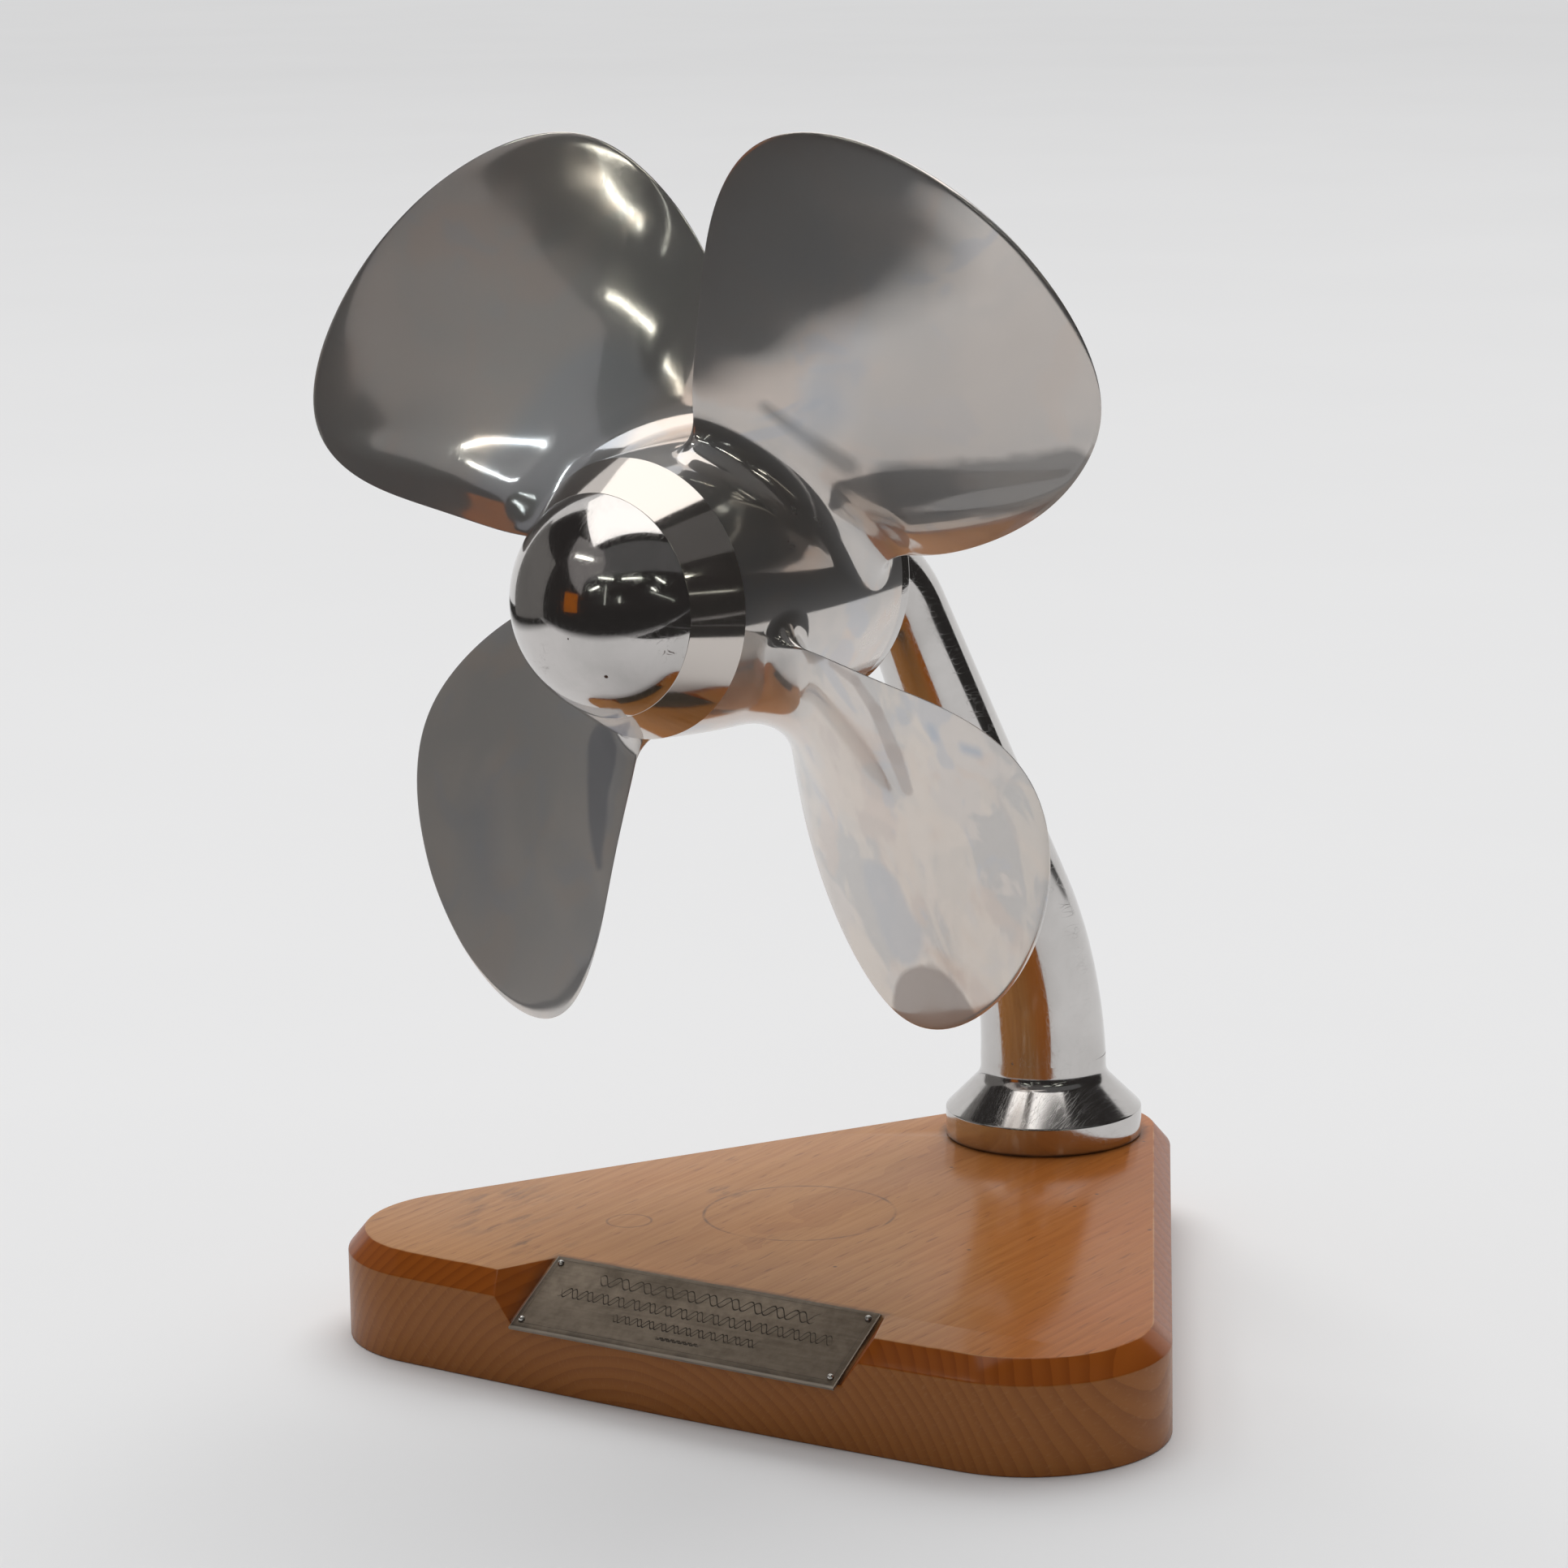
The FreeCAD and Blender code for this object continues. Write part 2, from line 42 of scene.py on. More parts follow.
# ---- hub and blades
DOME_DEPTH = 20.3
SEAM_R = 30.6
BAND_END = 13.6           # from the nose seam to the crease behind the bright band
BAND_R = 38.5
HUB_MID_R = 40.4
HUB_REAR_R = 38.8
HUB_LENGTH = 83.8
COVER_T = 3.7
SPIGOT_HOLE_R = 22.0      # the nose cap's seat in the hub
SPIGOT_END = 6.6
BUSH_HEAD_R = 18.0
BUSH_HEAD_END = 10.6
SHAFT_HOLE_R = 8.5
CAVITY_R = 27.0
CAVITY_START = 30.6
CAVITY_END = 76.6
COVER_SEAT_R = 31.0
COLLAR_R = 13.5
COLLAR_END = 66.6
COVER_RELIEF_R = 12.0
COVER_RELIEF_DEPTH = 1.5
CAP_POCKET_R = 15.0
CAP_POCKET_DEPTH = 8.4
THIN = 0.02               # a gap or a hole too small to see
TIP_R = 143.18
BLADES = 4
BLADE_TURN = math.radians(43.7)
BLADE_MID = 46.6
PITCH = (233.8, 103.4, -46.3)
SKEW = (0.162, -0.608, 0.374)
HALF_WIDTH = (0.525, 0.731, 0.464, 0.838, 0.537, 1.153)
RAKE = (0.1, -4.2)
EDGE_LIFT = (9.8, -13.2)
ROOT_FILLET = 11.0
ROOT_HALF_T = 3.6
TIP_HALF_T = 1.0
EDGE_HALF_T = 0.75
# for each hand-finished blade: the edge that swells, where the swell starts, and its height
EDGE_ROLLS = (1, 0.34, 4.2), (1, 0.4, 0.6), (-1, 0.5, 0.6), (-1, 0.10, 2.2)
ROUND_SEGMENTS = 192

# ---- arm and foot
ARM_SEAT_Z = 57.0
ARM_FOOT_R = 19.2
ARM_TOP_R = 10.0
BEND_START_Z = 54.2
BEND_R = 109.9
LEAN = math.radians(29.6)
CROOK_R = 40.3
ARM_REACH = 118.0         # from the foot's axis to the arm's front end
SOCKET_R = 5.0
SOCKET_DEPTH = 18.0
SPIGOT_R = 12.0
STUD_R = 6.0
STUD_HOLE_TOP_Z = 74.0
FLANGE_R = 30.0
FLANGE_RIM_H = 8.6
CONE_HOLLOW_R = 5.8       # the 45 degree cone runs into the arm through this hollow

# ---- board and plaque
BASE_T = 31.6
BASE_TURN = math.radians(4.4)
FRONT_HALF = 91.9
FRONT_Y = -166.2
FRONT_CORNER_R = 39.1
BACK_Y = 8.4
BACK_CORNER_R = 34.8
FRONT_BOW = 1.75
CHAMFER_H = 6.1
CHAMFER_IN = 5.1
FACET_X = 2.0
FACET_HALF = 56.0
FACET_TOP_Y = -183.4
FACET_LOW_Z = 18.1
FRONT_FACE_Y = -207.05
FACET_TILT = math.atan2(BASE_T - FACET_LOW_Z, FACET_TOP_Y - FRONT_FACE_Y)
PLAQUE_W = 108.0
PLAQUE_H = 28.6
PLAQUE_T = 1.0
PLAQUE_GAP = 0.2          # from the facet's upper edge
STUD_HOLE_R = 6.5
COUNTERBORE_R = 16.0
COUNTERBORE_H = 16.0

# ---- camera
CAMERA_AT = (0.8500, -1.1467, 0.4502)
CAMERA_AZIMUTH = 37.70
CAMERA_ELEVATION = 11.57
CAMERA_ROLL = -0.017
CAMERA_LENS = 116.15

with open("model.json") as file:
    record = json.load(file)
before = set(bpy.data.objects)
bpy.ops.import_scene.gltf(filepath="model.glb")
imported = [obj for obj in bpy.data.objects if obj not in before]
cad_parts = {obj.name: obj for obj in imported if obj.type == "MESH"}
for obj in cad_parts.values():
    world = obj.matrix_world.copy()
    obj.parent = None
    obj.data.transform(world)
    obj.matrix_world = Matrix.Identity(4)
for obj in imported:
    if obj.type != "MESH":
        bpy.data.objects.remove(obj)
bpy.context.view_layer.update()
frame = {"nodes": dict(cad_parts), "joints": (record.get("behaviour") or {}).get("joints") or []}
NODES = frame["nodes"]
SPIN = frame["joints"][0]
AXIS_X = SPIN["pos_m"][0] / MM
AXIS_Z = SPIN["pos_m"][2] / MM
SEAM_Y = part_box("nose_cap")[0].y / MM + DOME_DEPTH
FOOT_LOW, FOOT_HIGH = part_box("foot_flange")
FOOT_X = (FOOT_LOW.x + FOOT_HIGH.x) / 2 / MM
FOOT_Y = (FOOT_LOW.y + FOOT_HIGH.y) / 2 / MM
NOSE = Vector((AXIS_X * MM, SEAM_Y * MM, AXIS_Z * MM))


# ---- mesh helpers
def new_object(name, points, faces):
    mesh = bpy.data.meshes.new(name)
    mesh.from_pydata([tuple(p) for p in points], [], [tuple(f) for f in faces])
    obj = bpy.data.objects.new(name, mesh)
    bpy.context.scene.collection.objects.link(obj)
    return obj


def piece(name, points, faces, body, slot, *replaced):
    """A piece from points in metres; it rides on a body and stands for CAD nodes."""
    obj = new_object(name, points, faces)
    obj.data.validate()
    obj.data.update()
    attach(obj, body)
    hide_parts(*replaced)
    return obj


def smooth_by_angle(obj, degrees=28):
    obj.data.polygons.foreach_set("use_smooth", [True] * len(obj.data.polygons))
    obj.data.set_sharp_from_angle(angle=math.radians(degrees))


def finished(obj, degrees=28):
    """The piece with its faces turned outwards and its normals smooth between sharp edges."""
    outward(obj)
    smooth_by_angle(obj, degrees)
    return obj


def from_hub(points):
    """Hub coordinates (x, y from the seam, z from the axis) in mm to metres."""
    return (np.asarray(points, float) + (AXIS_X, SEAM_Y, AXIS_Z)) * MM


def from_foot(points):
    """Coordinates round the arm's foot in mm to metres."""
    return (np.asarray(points, float) + (FOOT_X, FOOT_Y, 0.0)) * MM


def from_board(points):
    """Board coordinates, before its turn, in mm to metres."""
    points = np.asarray(points, float)
    c, s = math.cos(BASE_TURN), math.sin(BASE_TURN)
    x, y = points[..., 0], points[..., 1]
    return from_foot(np.stack([x * c - y * s, x * s + y * c, points[..., 2]], -1))


def eased(profile, radius, steps=4, closed=True):
    """The profile with each corner sharper than 25 degrees rounded by a small arc."""
    out = []
    count = len(profile)
    for i, here in enumerate(profile):
        if not closed and i in (0, count - 1):
            out.append(here)
            continue
        p = Vector(here)
        a = Vector(profile[i - 1]) - p
        b = Vector(profile[(i + 1) % count]) - p
        turn = math.pi - a.angle(b)
        back = min(radius * math.tan(turn / 2), a.length * 0.45, b.length * 0.45)
        if turn < math.radians(25) or back < 0.005:
            out.append(here)
            continue
        start = p + a.normalized() * back
        end = p + b.normalized() * back
        for k in range(steps + 1):
            t = k / steps
            q = start * (1 - t) ** 2 + p * (2 * t * (1 - t)) + end * t ** 2
            out.append((q.x, q.y))
    return out


def strips(rings, segments):
    """The four-sided faces between each closed ring of points and the next."""
    faces = []
    for a in range(0, (rings - 1) * segments, segments):
        for k in range(segments):
            n = (k + 1) % segments
            faces.append((a + k, a + n, a + segments + n, a + segments + k))
    return faces


def end_faces(rings, segments):
    """One face over the first ring and one over the last."""
    return [tuple(range(segments))[::-1], tuple(range((rings - 1) * segments, rings * segments))]


def round_border(across, along):
    """(row, column) round the border of a grid with that many cells."""
    low_right = [(0, i) for i in range(across)] + [(j, across) for j in range(along)]
    high_left = [(along, i) for i in range(across, 0, -1)] + [(j, 0) for j in range(along, 0, -1)]
    return low_right + high_left


def lathe_grid(profile, phase=0.0, segments=ROUND_SEGMENTS):
    """Rings of a profile of (along, radius), turned about the first axis: (points, faces)."""
    angles = phase + np.arange(segments) * 2 * math.pi / segments
    points = [np.stack([r * np.cos(angles), np.full(segments, a), r * np.sin(angles)], -1)
              for a, r in profile]
    return np.concatenate(points), strips(len(profile), segments)


def lathe_solid(profile, segments=ROUND_SEGMENTS):
    """A closed profile of (along, radius) turned into a ring-shaped solid."""
    points, faces = lathe_grid(list(profile) + [profile[0]], segments=segments)
    count = len(profile) * segments
    return points[:count], [tuple(v % count for v in f) for f in faces]


def outward(obj):
    """Face normals point out of the closed mesh."""
    mesh = obj.data
    points = np.array([v.co for v in mesh.vertices])
    volume = 0.0
    for face in mesh.polygons:
        ids = list(face.vertices)
        for k in range(1, len(ids) - 1):
            a, b, c = points[ids[0]], points[ids[k]], points[ids[k + 1]]
            volume += np.dot(a, np.cross(b, c))
    if volume < 0:
        mesh.flip_normals()
    return obj


# ---- propeller shape
def hub_radius(y):
    """The barrel's radius, a gentle arc through its crease, middle and rear."""
    t = (y - BAND_END) / (HUB_LENGTH - BAND_END)
    return (BAND_R * (1 - t) * (1 - 2 * t) + HUB_MID_R * 4 * t * (1 - t)
            + HUB_REAR_R * t * (2 * t - 1))


def bernstein(terms, t):
    n = len(terms) - 1
    return sum(v * math.comb(n, i) * t ** i * (1 - t) ** (n - i) for i, v in enumerate(terms))


def span(radius):
    """How far a radius lies from the root (0) to the tip (1)."""
    return max(0.0, (radius - HUB_REAR_R) / (TIP_R - HUB_REAR_R))


def sweep(t):
    """The angle by which the blade's mid line falls back."""
    return SKEW[0] * t + SKEW[1] * t ** 2 + SKEW[2] * t ** 3


def blade_mid(radius, delta):
    """The blade's middle surface at a radius and an angle from its mid line."""
    t = span(radius)
    lead = (PITCH[0] + PITCH[1] * t + PITCH[2] * t * t) / (2 * math.pi)
    angle = BLADE_TURN - sweep(t) - delta
    y = BLADE_MID + RAKE[0] * t + RAKE[1] * t * t + lead * delta
    y = y + (EDGE_LIFT[0] + EDGE_LIFT[1] * t) * delta ** 2
    return np.stack([radius * np.cos(angle), y, radius * np.sin(angle)], -1)


def half_width(radius):
    t = span(radius)
    return math.sqrt(max(0.0, 1 - t * t)) * bernstein(HALF_WIDTH, t)


def half_thickness(radius, u):
    middle = ROOT_HALF_T + (TIP_HALF_T - ROOT_HALF_T) * math.sqrt(span(radius))
    edge = EDGE_HALF_T * np.sqrt(np.maximum(0.0, 1 - u ** 6))
    past = min(1.0, max(0.0, (radius - (TIP_R - EDGE_HALF_T)) / EDGE_HALF_T))
    return (edge + (middle - EDGE_HALF_T) * (1 - u * u)) * math.sqrt(1 - past * past)


def ring_angles(count):
    """Angles round a blade section, close together at its two edges."""
    x = np.arange(count) / (count / 2)
    return math.pi * (x - 0.92 * np.sin(2 * math.pi * x) / (2 * math.pi))


def blade_ring(height, flare, angles):
    """One ring of the blade's skin at a height over the hub, swollen by the root fillet."""
    radius = HUB_REAR_R + height
    step = 0.01
    ahead, behind = blade_mid(radius, np.array(step)), blade_mid(radius, np.array(-step))
    unit = np.linalg.norm(ahead - behind) / (2 * step)
    u = -np.cos(angles)
    chord = u * half_width(radius) * unit
    thick = np.where(np.sin(angles) >= 0, 1.0, -1.0) * half_thickness(radius, u)
    if flare > 0:
        d_chord = np.roll(chord, -1) - np.roll(chord, 1)
        d_thick = np.roll(thick, -1) - np.roll(thick, 1)
        length = np.hypot(d_chord, d_thick)
        chord = chord - flare * d_thick / length
        thick = thick + flare * d_chord / length
    delta = chord / unit
    across = blade_mid(radius, delta + 0.002) - blade_mid(radius, delta - 0.002)
    rise = blade_mid(radius + 0.1, delta) - blade_mid(radius - 0.1, delta)
    normal = np.cross(across, rise)
    normal /= np.linalg.norm(normal, axis=-1, keepdims=True)
    points = blade_mid(radius, delta) + normal * thick[:, None]
    wanted = hub_radius(points[:, 1]) + height
    rho = np.hypot(points[:, 0], points[:, 2])
    away = min(1.0, max(0.0, height / ROOT_FILLET - 1.0))
    held = 1 - away * away * (3 - 2 * away)
    scale = (rho + (wanted - rho) * held) / rho
    return points * np.stack([scale, np.ones_like(scale), scale], -1)


def blade_rows(angles):
    """The blade's rings: a quarter circle for the root fillet, then rows out to the tip."""
    rows = []
    fillet_steps, steps = 10, 60
    for k in range(fillet_steps + 1):
        a = math.pi / 2 * (1 - k / fillet_steps)
        rows.append(blade_ring(ROOT_FILLET * (1 - math.sin(a)), ROOT_FILLET * (1 - math.cos(a)), angles))
    reach = TIP_R - HUB_REAR_R - ROOT_FILLET
    for k in range(1, steps):
        rows.append(blade_ring(ROOT_FILLET + reach * math.sin(math.pi / 2 * k / steps), 0.0, angles))
    return rows


def hand_grinding(points):
    """Slight unevenness left by hand grinding, fading out at the tip and near the hub."""
    rho = np.hypot(points[:, 0], points[:, 2])
    fade = np.clip((rho - 52) / 20, 0, 1) * np.clip((TIP_R - 3 - rho) / 12, 0, 1)
    waves = [noise.noise(Vector(p) / 26.0) * 0.22 for p in points]
    ripples = [noise.noise(Vector(p) / 11.0) * 0.035 for p in points]
    return (np.array(waves) + np.array(ripples)) * fade


def edge_roll(points, side, root_start, height):
    """Forward swell along the trailing (1) or leading (-1) edge, narrower towards the tip."""
    rho = np.hypot(points[:, 0], points[:, 2])
    t = np.clip((rho - HUB_REAR_R) / (TIP_R - HUB_REAR_R), 0, 1)
    delta = BLADE_TURN - sweep(t) - np.arctan2(points[:, 2], points[:, 0])
    delta = (delta + math.pi) % (2 * math.pi) - math.pi
    half = np.array([max(half_width(r), 0.05) for r in rho])
    start = np.clip(root_start + 0.0118 * (rho - 59), 0.1, 0.95)
    across = np.clip((side * delta / half - start) / (1 - start), 0, 1) ** 1.6
    fade = np.clip((rho - 50) / 10, 0, 1) * np.clip((135 - rho) / 25, 0, 1)
    return -height * (1 - start) * np.sin(math.pi * across) ** 2 * fade


def blade_skin():
    """(points, faces, root ring) of one blade, open at its root."""
    count = 224
    rows = blade_rows(ring_angles(count))
    points = np.concatenate(rows)
    points[:, 1] += hand_grinding(points)
    tip = blade_mid(TIP_R - 0.02, np.array(0.0))
    faces = strips(len(rows), count)
    last = (len(rows) - 1) * count
    for k in range(count):
        faces.append((last + k, last + (k + 1) % count, len(points)))
    return np.concatenate([points, tip[None]]), faces, rows[0]


def inside(loop, points):
    """Which points lie inside a closed loop, by counting crossings."""
    result = np.zeros(len(points), bool)
    for (x0, y0), (x1, y1) in zip(loop, np.roll(loop, -1, 0)):
        crosses = (y0 > points[:, 1]) != (y1 > points[:, 1])
        with np.errstate(divide="ignore", invalid="ignore"):
            at = x0 + (points[:, 1] - y0) * (x1 - x0) / (y1 - y0)
        result ^= crosses & (points[:, 0] < at)
    return result


def seam_angle(y):
    """Helix half way between two blades, which bounds one quarter of the barrel."""
    return BLADE_TURN - (y - BLADE_MID) / (PITCH[0] / (2 * math.pi)) - math.pi / BLADES


def barrel_quarter(root):
    """The barrel between two helices, with a hole that is exactly the blade's root ring."""
    across = ROUND_SEGMENTS // BLADES
    along = 40
    mean_r = HUB_MID_R
    full = 2 * math.pi
    spread = full / BLADES
    ys = np.linspace(BAND_END, HUB_LENGTH, along + 1)
    angle = np.arctan2(root[:, 2], root[:, 0])
    loop = np.stack([np.unwrap(angle) * mean_r, root[:, 1]], -1)
    loop[:, 0] -= round((loop[:, 0].mean() / mean_r - BLADE_TURN) / full) * full * mean_r
    grid = [[(seam_angle(y) + f * spread) * mean_r for f in np.linspace(0, 1, across + 1)] for y in ys]
    border = [(grid[j][i], ys[j]) for j, i in round_border(across, along)]
    fill = np.array([(grid[j][i], ys[j]) for j in range(1, along) for i in range(1, across)])
    near = np.min(np.linalg.norm(fill[:, None] - loop[None], axis=-1), axis=1) < 0.9
    fill = fill[~near & ~inside(loop, fill)]
    coords = border + [tuple(p) for p in loop] + [tuple(p) for p in fill]
    first, last = len(border), len(border) + len(loop)
    edges = [(i, (i + 1) % first) for i in range(first)]
    edges += [(i, i + 1 if i + 1 < last else first) for i in range(first, last)]
    flat, _, triangles, *_ = geometry.delaunay_2d_cdt([Vector(c) for c in coords], edges, [], 0, 1e-7)
    flat = np.array([tuple(p) for p in flat])
    triangles = np.array(triangles)
    centres = flat[triangles].mean(1)
    keep = inside(np.array(border), centres) & ~inside(loop, centres)
    radius = hub_radius(flat[:, 1])
    theta = flat[:, 0] / mean_r
    points = np.stack([radius * np.cos(theta), flat[:, 1], radius * np.sin(theta)], -1)
    return points, [tuple(t) for t in triangles[keep]]


def turned(points, angle):
    """Points turned about the hub's axis."""
    c, s = math.cos(angle), math.sin(angle)
    x, z = points[:, 0], points[:, 2]
    return np.stack([x * c - z * s, points[:, 1], x * s + z * c], -1)


def inner_profile():
    """The hub's machined inside and end faces, from the crease to the rear edge."""
    corners = [(BAND_END, BAND_R), (0.0, SEAM_R), (0.0, SPIGOT_HOLE_R), (SPIGOT_END, SPIGOT_HOLE_R),
               (SPIGOT_END, BUSH_HEAD_R), (BUSH_HEAD_END, BUSH_HEAD_R), (BUSH_HEAD_END, SHAFT_HOLE_R),
               (CAVITY_START, SHAFT_HOLE_R), (CAVITY_START, CAVITY_R), (CAVITY_END, CAVITY_R),
               (CAVITY_END, COVER_SEAT_R), (HUB_LENGTH, COVER_SEAT_R), (HUB_LENGTH, HUB_REAR_R)]
    return eased(corners, 0.22, closed=False)


def kept_near(p, cell, cells, kept, tolerance):
    """The number of a kept point within the tolerance of p, or None."""
    for step in itertools.product((0, -1, 1), repeat=3):
        j = cells.get(tuple(c + s for c, s in zip(cell, step)))
        if j is not None and np.abs(kept[j] - p).max() < tolerance:
            return j
    return None


def merged(parts, tolerance=0.004):
    """Joined (points, faces, tags) with points nearer than the tolerance made one."""
    cells, kept = {}, []
    clean, tags = [], []
    for points, faces, tag in parts:
        number = []
        for p in points:
            cell = tuple(np.floor(p / tolerance).astype(int))
            found = kept_near(p, cell, cells, kept, tolerance)
            if found is None:
                found = len(kept)
                cells[cell] = found
                kept.append(p)
            number.append(found)
        for face in faces:
            ids = tuple(dict.fromkeys(number[v] for v in face))
            if len(ids) > 2:
                clean.append(ids)
                tags.append(tag)
    return np.array(kept), clean, tags


def propeller():
    skin, skin_faces, root = blade_skin()
    quarter, quarter_faces = barrel_quarter(root)
    quarter_faces = [f[::-1] for f in quarter_faces]
    parts = []
    for i in range(BLADES):
        angle = -2 * math.pi * i / BLADES
        blade = skin.copy()
        blade[:, 1] += edge_roll(skin, *EDGE_ROLLS[i])
        parts.append((turned(blade, angle), skin_faces, "skin"))
        parts.append((turned(quarter, angle), quarter_faces, "skin"))
    ring, ring_faces = lathe_grid(inner_profile(), seam_angle(BAND_END))
    rear_phase = seam_angle(HUB_LENGTH) - seam_angle(BAND_END)
    step = 2 * math.pi / ROUND_SEGMENTS
    twist = rear_phase - step * round(rear_phase / step)
    ring[-ROUND_SEGMENTS:] = turned(ring[-ROUND_SEGMENTS:], twist)
    parts.append((ring, ring_faces, "turned"))
    points, faces, tags = merged(parts)
    obj = piece("propeller_casting", from_hub(points), faces, "rotor", "cast_metal", "propeller")
    consistent_normals(obj)
    shade_casting(obj, tags)
    return obj


def consistent_normals(obj):
    work = bmesh.new()
    work.from_mesh(obj.data)
    bmesh.ops.recalc_face_normals(work, faces=work.faces)
    work.to_mesh(obj.data)
    work.free()
    outward(obj)


def shade_casting(obj, tags):
    """Smooth normals over skin and barrel, exact on the barrel, and crisp machined edges."""
    mesh = obj.data
    smooth_by_angle(obj, 22)
    corner = np.array([n.vector for n in mesh.corner_normals])
    points = np.array([v.co for v in mesh.vertices]) / MM - np.array([AXIS_X, SEAM_Y, AXIS_Z])
    skin = [face for face, tag in zip(mesh.polygons, tags) if tag == "skin"]
    normals = np.zeros((len(points), 3))
    for face in skin:
        for v in face.vertices:
            normals[v] += np.array(face.normal) * face.area
    size = np.linalg.norm(normals, axis=-1, keepdims=True)
    normals /= np.where(size > 0, size, 1)
    x, y, z = points.T
    rho = np.hypot(x, z)
    on_barrel = np.abs(rho - hub_radius(y)) < 0.003
    slope = (hub_radius(y + 0.05) - hub_radius(y - 0.05)) / 0.1
    exact = np.stack([x / np.maximum(rho, 1), -slope, z / np.maximum(rho, 1)], -1)
    exact /= np.linalg.norm(exact, axis=-1, keepdims=True)
    normals = np.where(on_barrel[:, None], exact, normals)
    for face in skin:
        for k, v in enumerate(face.vertices):
            corner[face.loop_start + k] = normals[v]
    mesh.normals_split_custom_set([tuple(n) for n in corner])


# ---- nose cap and rear cover
def nose_dome():
    """The cap: a part of a sphere in front, its spigot and its pocket behind."""
    sphere_r = (SEAM_R ** 2 + DOME_DEPTH ** 2) / (2 * DOME_DEPTH)
    centre = sphere_r - DOME_DEPTH
    edge = math.atan2(SEAM_R - 0.30, centre)
    profile = [(-DOME_DEPTH, THIN)]
    steps = 64
    for k in range(1, steps):
        a = edge * (k + 0.02) / (steps - 0.98)
        profile.append((centre - sphere_r * math.cos(a), sphere_r * math.sin(a)))
    profile += [(-THIN, SEAM_R - 0.62), (-THIN, SPIGOT_HOLE_R), (SPIGOT_END, SPIGOT_HOLE_R),
                (SPIGOT_END, CAP_POCKET_R), (-CAP_POCKET_DEPTH, CAP_POCKET_R), (-CAP_POCKET_DEPTH, THIN)]
    points, faces = lathe_solid(profile)
    return finished(piece("nose_dome", from_hub(points), faces, "rotor", "mirror_metal", "nose_cap"))


def closing_plate():
    """The rear cover with its collar round the shaft."""
    front, back = HUB_LENGTH + THIN, HUB_LENGTH + COVER_T
    outer = HUB_REAR_R - 0.1
    relief = back - COVER_RELIEF_DEPTH
    corners = [(front, outer), (back, outer), (back, COVER_RELIEF_R), (relief, COVER_RELIEF_R),
               (relief, SHAFT_HOLE_R), (COLLAR_END, SHAFT_HOLE_R), (COLLAR_END, COLLAR_R),
               (CAVITY_END, COLLAR_R), (CAVITY_END, COVER_SEAT_R), (front, COVER_SEAT_R)]
    points, faces = lathe_solid(eased(corners, 0.5))
    return finished(piece("closing_plate", from_hub(points), faces, "rotor", "polished_metal",
                          "rear_cover"))


# ---- arm and foot shapes
def arm_centre_line():
    """(y, z, lean) from the foot's seat to the front end, every millimetre or so."""
    line = []
    start = math.asin((ARM_SEAT_Z - BEND_START_Z) / BEND_R)
    bend_steps, steps, end_steps = 47, 39, 8
    for k in range(bend_steps + 1):
        a = start + (LEAN - start) * k / bend_steps
        line.append((-BEND_R * (1 - math.cos(a)), BEND_START_Z + BEND_R * math.sin(a), a))
    y, z, _ = line[-1]
    rise = CROOK_R * (1 - math.sin(LEAN))
    length = (AXIS_Z - rise - z) / math.cos(LEAN)
    for k in range(1, steps + 1):
        part = length * k / steps
        line.append((y - part * math.sin(LEAN), z + part * math.cos(LEAN), LEAN))
    y, z, _ = line[-1]
    for k in range(1, steps + 1):
        b = LEAN + (math.pi / 2 - LEAN) * k / steps
        line.append((y - CROOK_R * (math.cos(LEAN) - math.cos(b)),
                     z + CROOK_R * (math.sin(b) - math.sin(LEAN)), b))
    y = line[-1][0]
    for k in range(1, end_steps + 1):
        line.append((y + (-ARM_REACH - y) * k / end_steps, AXIS_Z, math.pi / 2))
    return line


def curved_arm():
    """The tapered arm with its spigot, stud hole and shaft socket."""
    line = arm_centre_line()
    steps = [math.hypot(b[0] - a[0], b[1] - a[1]) for a, b in zip(line, line[1:])]
    run = np.concatenate([[0], np.cumsum(steps)])
    y, z, lean = line[-1]
    low = BASE_T + 1
    rings = [(0.0, STUD_HOLE_TOP_Z, 0.0, THIN), (0.0, STUD_HOLE_TOP_Z, 0.0, STUD_R), (0.0, low, 0.0, STUD_R),
             (0.0, low, 0.0, SPIGOT_R), (0.0, ARM_SEAT_Z, 0.0, SPIGOT_R)]
    rings += [(*place, ARM_FOOT_R + (ARM_TOP_R - ARM_FOOT_R) * s / run[-1]) for place, s in zip(line, run)]
    rings[-1] = (y + 0.5, z, lean, ARM_TOP_R)
    rings += [(y + 0.15, z, lean, ARM_TOP_R - 0.15), (y, z, lean, ARM_TOP_R - 0.5), (y, z, lean, SOCKET_R),
              (y + SOCKET_DEPTH, z, lean, SOCKET_R), (y + SOCKET_DEPTH, z, lean, THIN)]
    segments = 128
    around = np.arange(segments) * 2 * math.pi / segments
    points = []
    for y, z, a, r in rings:
        points.append(np.stack([r * np.cos(around), y + r * np.sin(around) * math.cos(a),
                                z + r * np.sin(around) * math.sin(a)], -1))
    faces = strips(len(rings), segments) + [f[::-1] for f in end_faces(len(rings), segments)]
    return finished(piece("curved_arm", from_foot(np.concatenate(points)), faces, "stand",
                          "polished_metal", "arm"))


